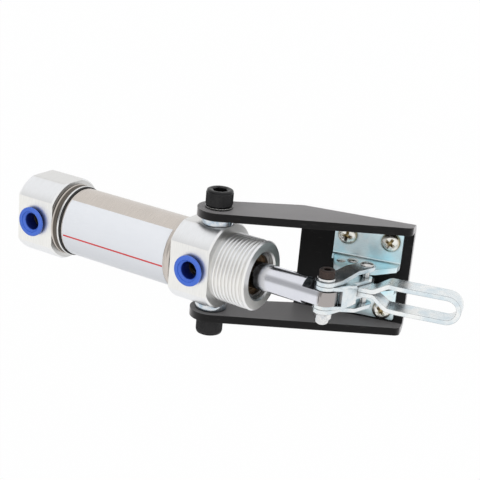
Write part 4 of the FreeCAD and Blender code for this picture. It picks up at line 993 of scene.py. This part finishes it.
def threaded_head(material):
    """Head with its ring-shaped crests pressed in to the thread's root, then a wound thread on top."""
    work = merged_copy("front_head")
    local = along_cylinder.inverted()
    for corner in work.verts:
        place = local @ corner.co
        out = math.hypot(place.y, place.z)
        if THREAD_FROM < place.x < THREAD_TO and out > NOSE_SKIN:
            place.y *= THREAD_ROOT / out
            place.z *= THREAD_ROOT / out
            corner.co = along_cylinder @ place
    head = rounded_off(work, "front_head_turned", HEAD_SOFT, 4)
    thread = grown("nose_thread", thread_tree(), bpy.data.meshes.new("nothing"), {
        "Radius": THREAD_ROOT * MILLIMETRE, "Pitch": THREAD_PITCH * MILLIMETRE,
        "Turns": THREAD_TURNS, "Wire": THREAD_WIRE * MILLIMETRE,
        "Material": material,
    })
    lay = Matrix.Rotation(math.radians(90), 4, "Y")
    turn = Matrix.Rotation(math.radians(THREAD_START), 4, "Z")
    foot = along_cylinder @ Matrix.Translation((THREAD_FOOT, 0, 0))
    thread.transform(foot @ Matrix.Scale(1 / MILLIMETRE, 4) @ lay @ turn)
    return head, shaded(thread)


anodised = satin_aluminium()
head_mesh, thread_mesh = threaded_head(anodised)
flattened(show("front_head_turned", head_mesh, anodised, "cylinder", "head_aluminium", "front_head"))
show("nose_thread", thread_mesh, anodised, "cylinder", "head_aluminium")

# Rear head: the same bar closed behind, its back edge turned to a full round, with the second
# port. Both heads are clamped to the barrel by its rolled ends.
softened("rear_head", "rear_head_turned", anodised, "cylinder", "head_aluminium", HEAD_SOFT, 4)

# Barrel: thin stainless tube, brushed round its girth, with a rolled bead at the front and a
# rolled flange at the rear, beside which a snap ring and a rubber ring sit.
BARREL = 13.25
BORE = 12.55
REAR_END = -66.25
FRONT_END = -11.05
GROOVE_REAR = (-65.6 * MILLIMETRE, -65.4 * MILLIMETRE)
GROOVE_FRONT = (-63.7 * MILLIMETRE, -63.5 * MILLIMETRE)


def brushed_steel():
    """Stainless tube, warm grey, brushed round its girth, darker between its rear flange and the snap ring,
    with painted shade in corners.
    """
    material, tree, skin = blank("brushed_stainless")
    skin.inputs["Metallic"].default_value = 1.0
    lines = cloud(tree, on_axis(tree, (1, 0.03, 0.03)), 0.2, 5.0)
    broad = cloud(tree, on_axis(tree), 12.0, 2.0)
    tint = blended(tree, broad, (0.60, 0.545, 0.495), (0.71, 0.65, 0.60))
    along = coordinate(tree, on_axis(tree), "X")
    groove_start = graded(tree, along, 0.0, 1.0, *GROOVE_REAR)
    groove_end = graded(tree, along, 1.0, 0.0, *GROOVE_FRONT)
    tube = blended(tree, graded(tree, lines, 0.0, 0.3), tint, (0.42, 0.41, 0.39))
    # The tube is coloured darker between the rolled flange and the snap ring.
    groove = computed(tree, "MULTIPLY", groove_start, groove_end)
    groove_darkened = blended(tree, groove, tube, (0.13, 0.115, 0.10))
    # Painted shade in corners.
    corner_shaded = blended(tree, corner_shade_mask(tree, 1.0), (0.06, 0.055, 0.05), groove_darkened)
    painted(tree, skin, corner_shaded, graded(tree, lines, 0.24, 0.36), lines, 0.004)
    return material


barrel_profile = (
    (REAR_END, BORE), (REAR_END, 13.85), (REAR_END + 0.2, 14.05), (REAR_END + 0.5, 14.05),
    (REAR_END + 0.75, 13.85), (REAR_END + 0.9, 13.6), (REAR_END + 1.4, 13.55), (REAR_END + 1.7, BARREL),
    (-13.5, BARREL), (-13.2, 13.35), (-12.85, 13.68), (-12.3, 13.78), (-11.7, 13.74), (-11.35, 13.5),
    (FRONT_END, 13.3), (FRONT_END, BORE),
)
brushed = brushed_steel()
show("barrel_tube", lathe("barrel_tube", barrel_profile, along_cylinder, 0.12, 192, True), brushed,
     "cylinder", "barrel_steel", "barrel")
band_profile = ((-63.5, 13.3), (-63.5, 13.9), (-62.7, 13.9), (-62.7, 13.3))
show("snap_ring", lathe("snap_ring", band_profile, along_cylinder, 0.2, 144, True),
     plated("snap_ring_steel", (0.70, 0.70, 0.70), (0.86, 0.86, 0.85), 0.18, (1, 0.05, 0.05), 3.0, 0.003),
     "cylinder", "band_steel", "rear_band")


def rubber():
    """Matt black rubber with a dusty bloom."""
    material, tree, skin = blank("black_rubber")
    place = where(tree)
    bloom = cloud(tree, place, 1.2, 5.0)
    tint = blended(tree, bloom, (0.006, 0.006, 0.006), (0.020, 0.019, 0.018))
    painted(tree, skin, tint, graded(tree, bloom, 0.55, 0.72), cloud(tree, place, 0.2, 3.0), 0.01)
    return material


black_rubber = rubber()
dust_profile = ((-62.6, 13.27), (-62.6, 13.7), (-61.95, 13.7), (-61.95, 13.27))
show("rear_dust_ring", lathe("rear_dust_ring", dust_profile, along_cylinder, 0.25, 144, True),
     black_rubber, "cylinder", "seal_rubber")

# Label: a pale plastic film wrapped over most of the barrel, plain but for its red line.
# Its lettering and marks are left off.
LABEL_ENDS = (-61.3, -13.9)
LABEL_SPAN = (-150.0, 54.0)
STRIPE_ENDS = (-60.8, -14.0)
STRIPE_SPAN = (-10.4, -7.7)
FILM_COLUMNS = 120
FILM_ROWS = 24


def film(name, ends, span, inner, outer, material):
    """Curved sheet on the barrel between two ends and two angles from its top."""
    work = bmesh.new()
    grid = {}
    for shell, radius in ((0, inner), (1, outer)):
        for r in range(FILM_ROWS + 1):
            along = ends[0] + (ends[1] - ends[0]) * r / FILM_ROWS
            for c in range(FILM_COLUMNS + 1):
                angle = math.radians(span[0] + (span[1] - span[0]) * c / FILM_COLUMNS)
                spot = (along, radius * math.sin(angle), radius * math.cos(angle))
                grid[shell, r, c] = work.verts.new(spot)
    cells = []
    for r in range(FILM_ROWS):
        for c in range(FILM_COLUMNS):
            cells += [((s, r, c), (s, r + 1, c), (s, r + 1, c + 1), (s, r, c + 1)) for s in (0, 1)]
    for c in range(FILM_COLUMNS):
        cells += [((0, r, c), (0, r, c + 1), (1, r, c + 1), (1, r, c)) for r in (0, FILM_ROWS)]
    for r in range(FILM_ROWS):
        cells += [((0, r, c), (0, r + 1, c), (1, r + 1, c), (1, r, c)) for c in (0, FILM_COLUMNS)]
    for cell in cells:
        work.faces.new([grid[corner] for corner in cell])
    bmesh.ops.recalc_face_normals(work, faces=work.faces)
    work.transform(along_cylinder)
    show(name, baked(work, name), material, "cylinder", None)


def film_plastic(name, low, high):
    """Printed plastic film with a soft gloss and faint waviness."""
    material, tree, skin = blank(name)
    place = on_axis(tree)
    broad = cloud(tree, place, 9.0, 2.0)
    tint = blended(tree, broad, low, high)
    painted(tree, skin, tint, graded(tree, broad, 0.30, 0.34), cloud(tree, place, 6.0, 1.0), 0.006)
    return material


film("label_film", LABEL_ENDS, LABEL_SPAN, BARREL + 0.01, BARREL + 0.07,
     film_plastic("label_film", (0.72, 0.735, 0.765), (0.75, 0.76, 0.785)))
film("label_stripe", STRIPE_ENDS, STRIPE_SPAN, BARREL + 0.075, BARREL + 0.09,
     film_plastic("label_red", (0.56, 0.012, 0.018), (0.64, 0.02, 0.028)))

# Bush, seal and circlip: a sintered bronze bush guides the rod in the nose, a lip seal sits
# behind it, and a spring-steel circlip with drilled lugs keeps both in.
BUSH_FRONT = 17.25
BUSH_BACK = 8.85


def bronze():
    """Sintered bronze: brown, matt, finely porous, oil-dark in patches."""
    material, tree, skin = blank("sintered_bronze")
    skin.inputs["Metallic"].default_value = 0.9
    place = where(tree)
    patches = cloud(tree, place, 2.2, 4.0)
    tint = blended(tree, graded(tree, patches, 0.0, 1.0), (0.12, 0.075, 0.045), (0.30, 0.20, 0.12))
    painted(tree, skin, tint, graded(tree, patches, 0.34, 0.5), cloud(tree, place, 0.18, 2.0), 0.03)
    return material


bush_profile = (
    (BUSH_BACK, 5.05), (BUSH_BACK, 8.7), (BUSH_FRONT, 8.7), (BUSH_FRONT, 7.35), (BUSH_FRONT - 0.5, 7.2),
    (BUSH_FRONT - 0.5, 6.1), (BUSH_FRONT - 1.0, 5.9), (BUSH_FRONT - 1.3, 5.05),
)
show("rod_bush", lathe("rod_bush", bush_profile, along_cylinder, 0.12, 128, True), bronze(),
     "cylinder", "bronze", "rod_bush")
seal_profile = ((3.85, 7.45), (8.75, 7.45), (8.75, 5.05), (6.05, 5.05), (3.85, 5.3))
show("rod_lip_seal", lathe("rod_lip_seal", seal_profile, along_cylinder, 0.15, 96, True), black_rubber,
     "cylinder", "seal_rubber", "rod_seal")
spring_steel = plated("spring_steel", (0.20, 0.19, 0.18), (0.34, 0.33, 0.32), 0.30, (1, 1, 1), 2.0, 0.004)
softened("circlip", "nose_circlip", spring_steel, "cylinder", "spring_steel", 0.12)

# Trunnion screws: a pair of black M6 socket-head screws with straight knurling, each with a
# split spring washer under its head and a plated spacer between head block and bracket.
TRUNNION_HEAD_SEAT = 21.9
TRUNNION_HEAD_RADIUS = 4.88
TRUNNION_HEAD = 6.0
TRUNNION_SOCKET = 5.0
TRUNNION_SOCKET_DEPTH = 3.0
TRUNNION_SHANK = 3.0
TRUNNION_REACH = 11.85
TRUNNION_KNURL = (64, 4.86, 0.13, 0.6, 5.1)
SPACER_FROM = 15.25
SPACER_LENGTH = 2.7
SPACER_RADIUS = 5.95
SPACER_BORE = 3.05
SPACER_SOFT = 0.3
SPRING_EDGE = 0.12
trunnion_black = burnt_black("black_oxide", (0.014, 0.014, 0.015), (0.085, 0.082, 0.080))
# The near-white edge colour is a painted highlight along the dark washers' edges.
washer_steel = plated("washer_steel", (0.05, 0.048, 0.046), (0.09, 0.086, 0.082), 0.26,
                      (1, 1, 1), 2.0, 0.004, (0.86, 0.86, 0.84))
screw_profile = cap_screw_profile(TRUNNION_HEAD_RADIUS, TRUNNION_HEAD, TRUNNION_SOCKET,
                                  TRUNNION_SOCKET_DEPTH, TRUNNION_SHANK, TRUNNION_REACH)
spacer_profile = tube_profile(SPACER_RADIUS, SPACER_BORE, SPACER_LENGTH)
spacer_metal = plated("spacer_plating", (0.46, 0.56, 0.66), (0.80, 0.81, 0.82), 0.14,
                      (1, 0.3, 1), 2.5, 0.003)
for side, sign in (("left", 1), ("right", -1)):
    place = crosswise(PIVOT_X, sign * TRUNNION_HEAD_SEAT, PIVOT_Z)
    if sign < 0:
        place = place @ turned_over
    name = "trunnion_socket_screw_" + side
    mesh = knurled_screw(name, screw_profile, TRUNNION_SOCKET, TRUNNION_KNURL, place, trunnion_black)
    show(name, mesh, trunnion_black, "cylinder", "black_screw", "trunnion_screw_" + side)
    softened("spring_washer_" + side, "split_washer_" + side, washer_steel, "cylinder", "spring_steel",
             SPRING_EDGE)
    start = SPACER_FROM if sign > 0 else -SPACER_FROM - SPACER_LENGTH
    name = "plated_spacer_" + side
    mesh = lathe(name, spacer_profile, crosswise(PIVOT_X, start, PIVOT_Z), SPACER_SOFT, 96, True)
    show(name, mesh, spacer_metal, "cylinder", "plated_spacer", "trunnion_spacer_" + side)

# Air fittings: a brass sleeve pressed flush into each port, with a rubber ring and a toothed
# steel ring below, and a blue moulded collet whose flange is pushed to let the tube go.
PORTS = (("front", -1.7, "front_release"), ("rear", -75.5, "rear_release"))
COLLET_UNDER = 14.25
COLLET_TOP = 15.45
COLLET_SOFT = 0.12
COLLET_STEPS = 112
BORE_SHADE = (13.85 * MILLIMETRE, 14.40 * MILLIMETRE)


def blue_plastic():
    """Royal blue moulded plastic, satin, with a painted highlight at its rim and painted shade down in its
    bore.
    """
    material, tree, skin = blank("blue_plastic")
    place = on_axis(tree)
    broad = cloud(tree, place, 2.5, 3.0)
    # Painted shade down in the bore.
    deep = graded(tree, coordinate(tree, place, "Z"), 1.0, 0.0, *BORE_SHADE)
    body = blended(tree, broad, (0.042, 0.125, 0.55), (0.055, 0.150, 0.63))
    # Painted highlight along the edges.
    rim_highlight = blended(tree, edge_mask(tree, 0.25), body, (0.080, 0.20, 0.70))
    tint = blended(tree, deep, rim_highlight, (0.004, 0.012, 0.11))
    skin.inputs["Subsurface Weight"].default_value = 0.05
    skin.inputs["Subsurface Radius"].default_value = (0.0004, 0.0004, 0.0010)
    painted(tree, skin, tint, graded(tree, broad, 0.30, 0.42), cloud(tree, place, 0.5, 3.0), 0.008)
    return material


collet_profile = (
    (COLLET_TOP - 6.0, 3.05), (COLLET_TOP - 6.0, 3.85), (COLLET_UNDER, 3.85), (COLLET_UNDER, 5.3),
    (COLLET_UNDER + 0.2, 5.75), (COLLET_TOP - 0.3, 5.75), (COLLET_TOP, 5.45), (COLLET_TOP, 4.25),
    (COLLET_TOP - 0.55, 4.1), (COLLET_TOP - 1.1, 3.35), (COLLET_TOP - 2.4, 3.05),
)
royal_blue = blue_plastic()
for end, along, body in PORTS:
    place = along_cylinder @ Matrix.Translation((along, 0, 0)) @ upright(0)
    name = "release_collet_" + end
    mesh = lathe(name, collet_profile, place, COLLET_SOFT, COLLET_STEPS, True)
    show(name, mesh, royal_blue, body, "collet_blue", "collet_" + end)


# Inside pieces: turned piston with its rings, rubber seals, toothed grip rings and brass
# sleeves. They are pressed or pushed in and never seen, so they stay as built, painted only.
inner_aluminium = plated("piston_aluminium", (0.66, 0.66, 0.66), (0.78, 0.78, 0.77), 0.34,
                         (1, 0.1, 0.1), 6.0, 0.003)
fitting_brass = plated("fitting_brass", (0.30, 0.22, 0.09), (0.46, 0.34, 0.14), 0.36, (1, 1, 1), 2.5, 0.003)
wear_plastic = film_plastic("wear_plastic", (0.04, 0.10, 0.06), (0.06, 0.14, 0.09))
for nodes, material in (
    (("piston",), inner_aluminium),
    (("piston_seal_front", "piston_seal_rear", "tube_seal_front", "tube_seal_rear"), black_rubber),
    (("piston_wear_ring",), wear_plastic),
    (("link_pin",), rivet_steel),
    (("grip_ring_front", "grip_ring_rear"), spring_steel),
    (("fitting_sleeve_front", "fitting_sleeve_rear"), fitting_brass),
):
    for node in nodes:
        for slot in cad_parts[node].material_slots:
            slot.material = material
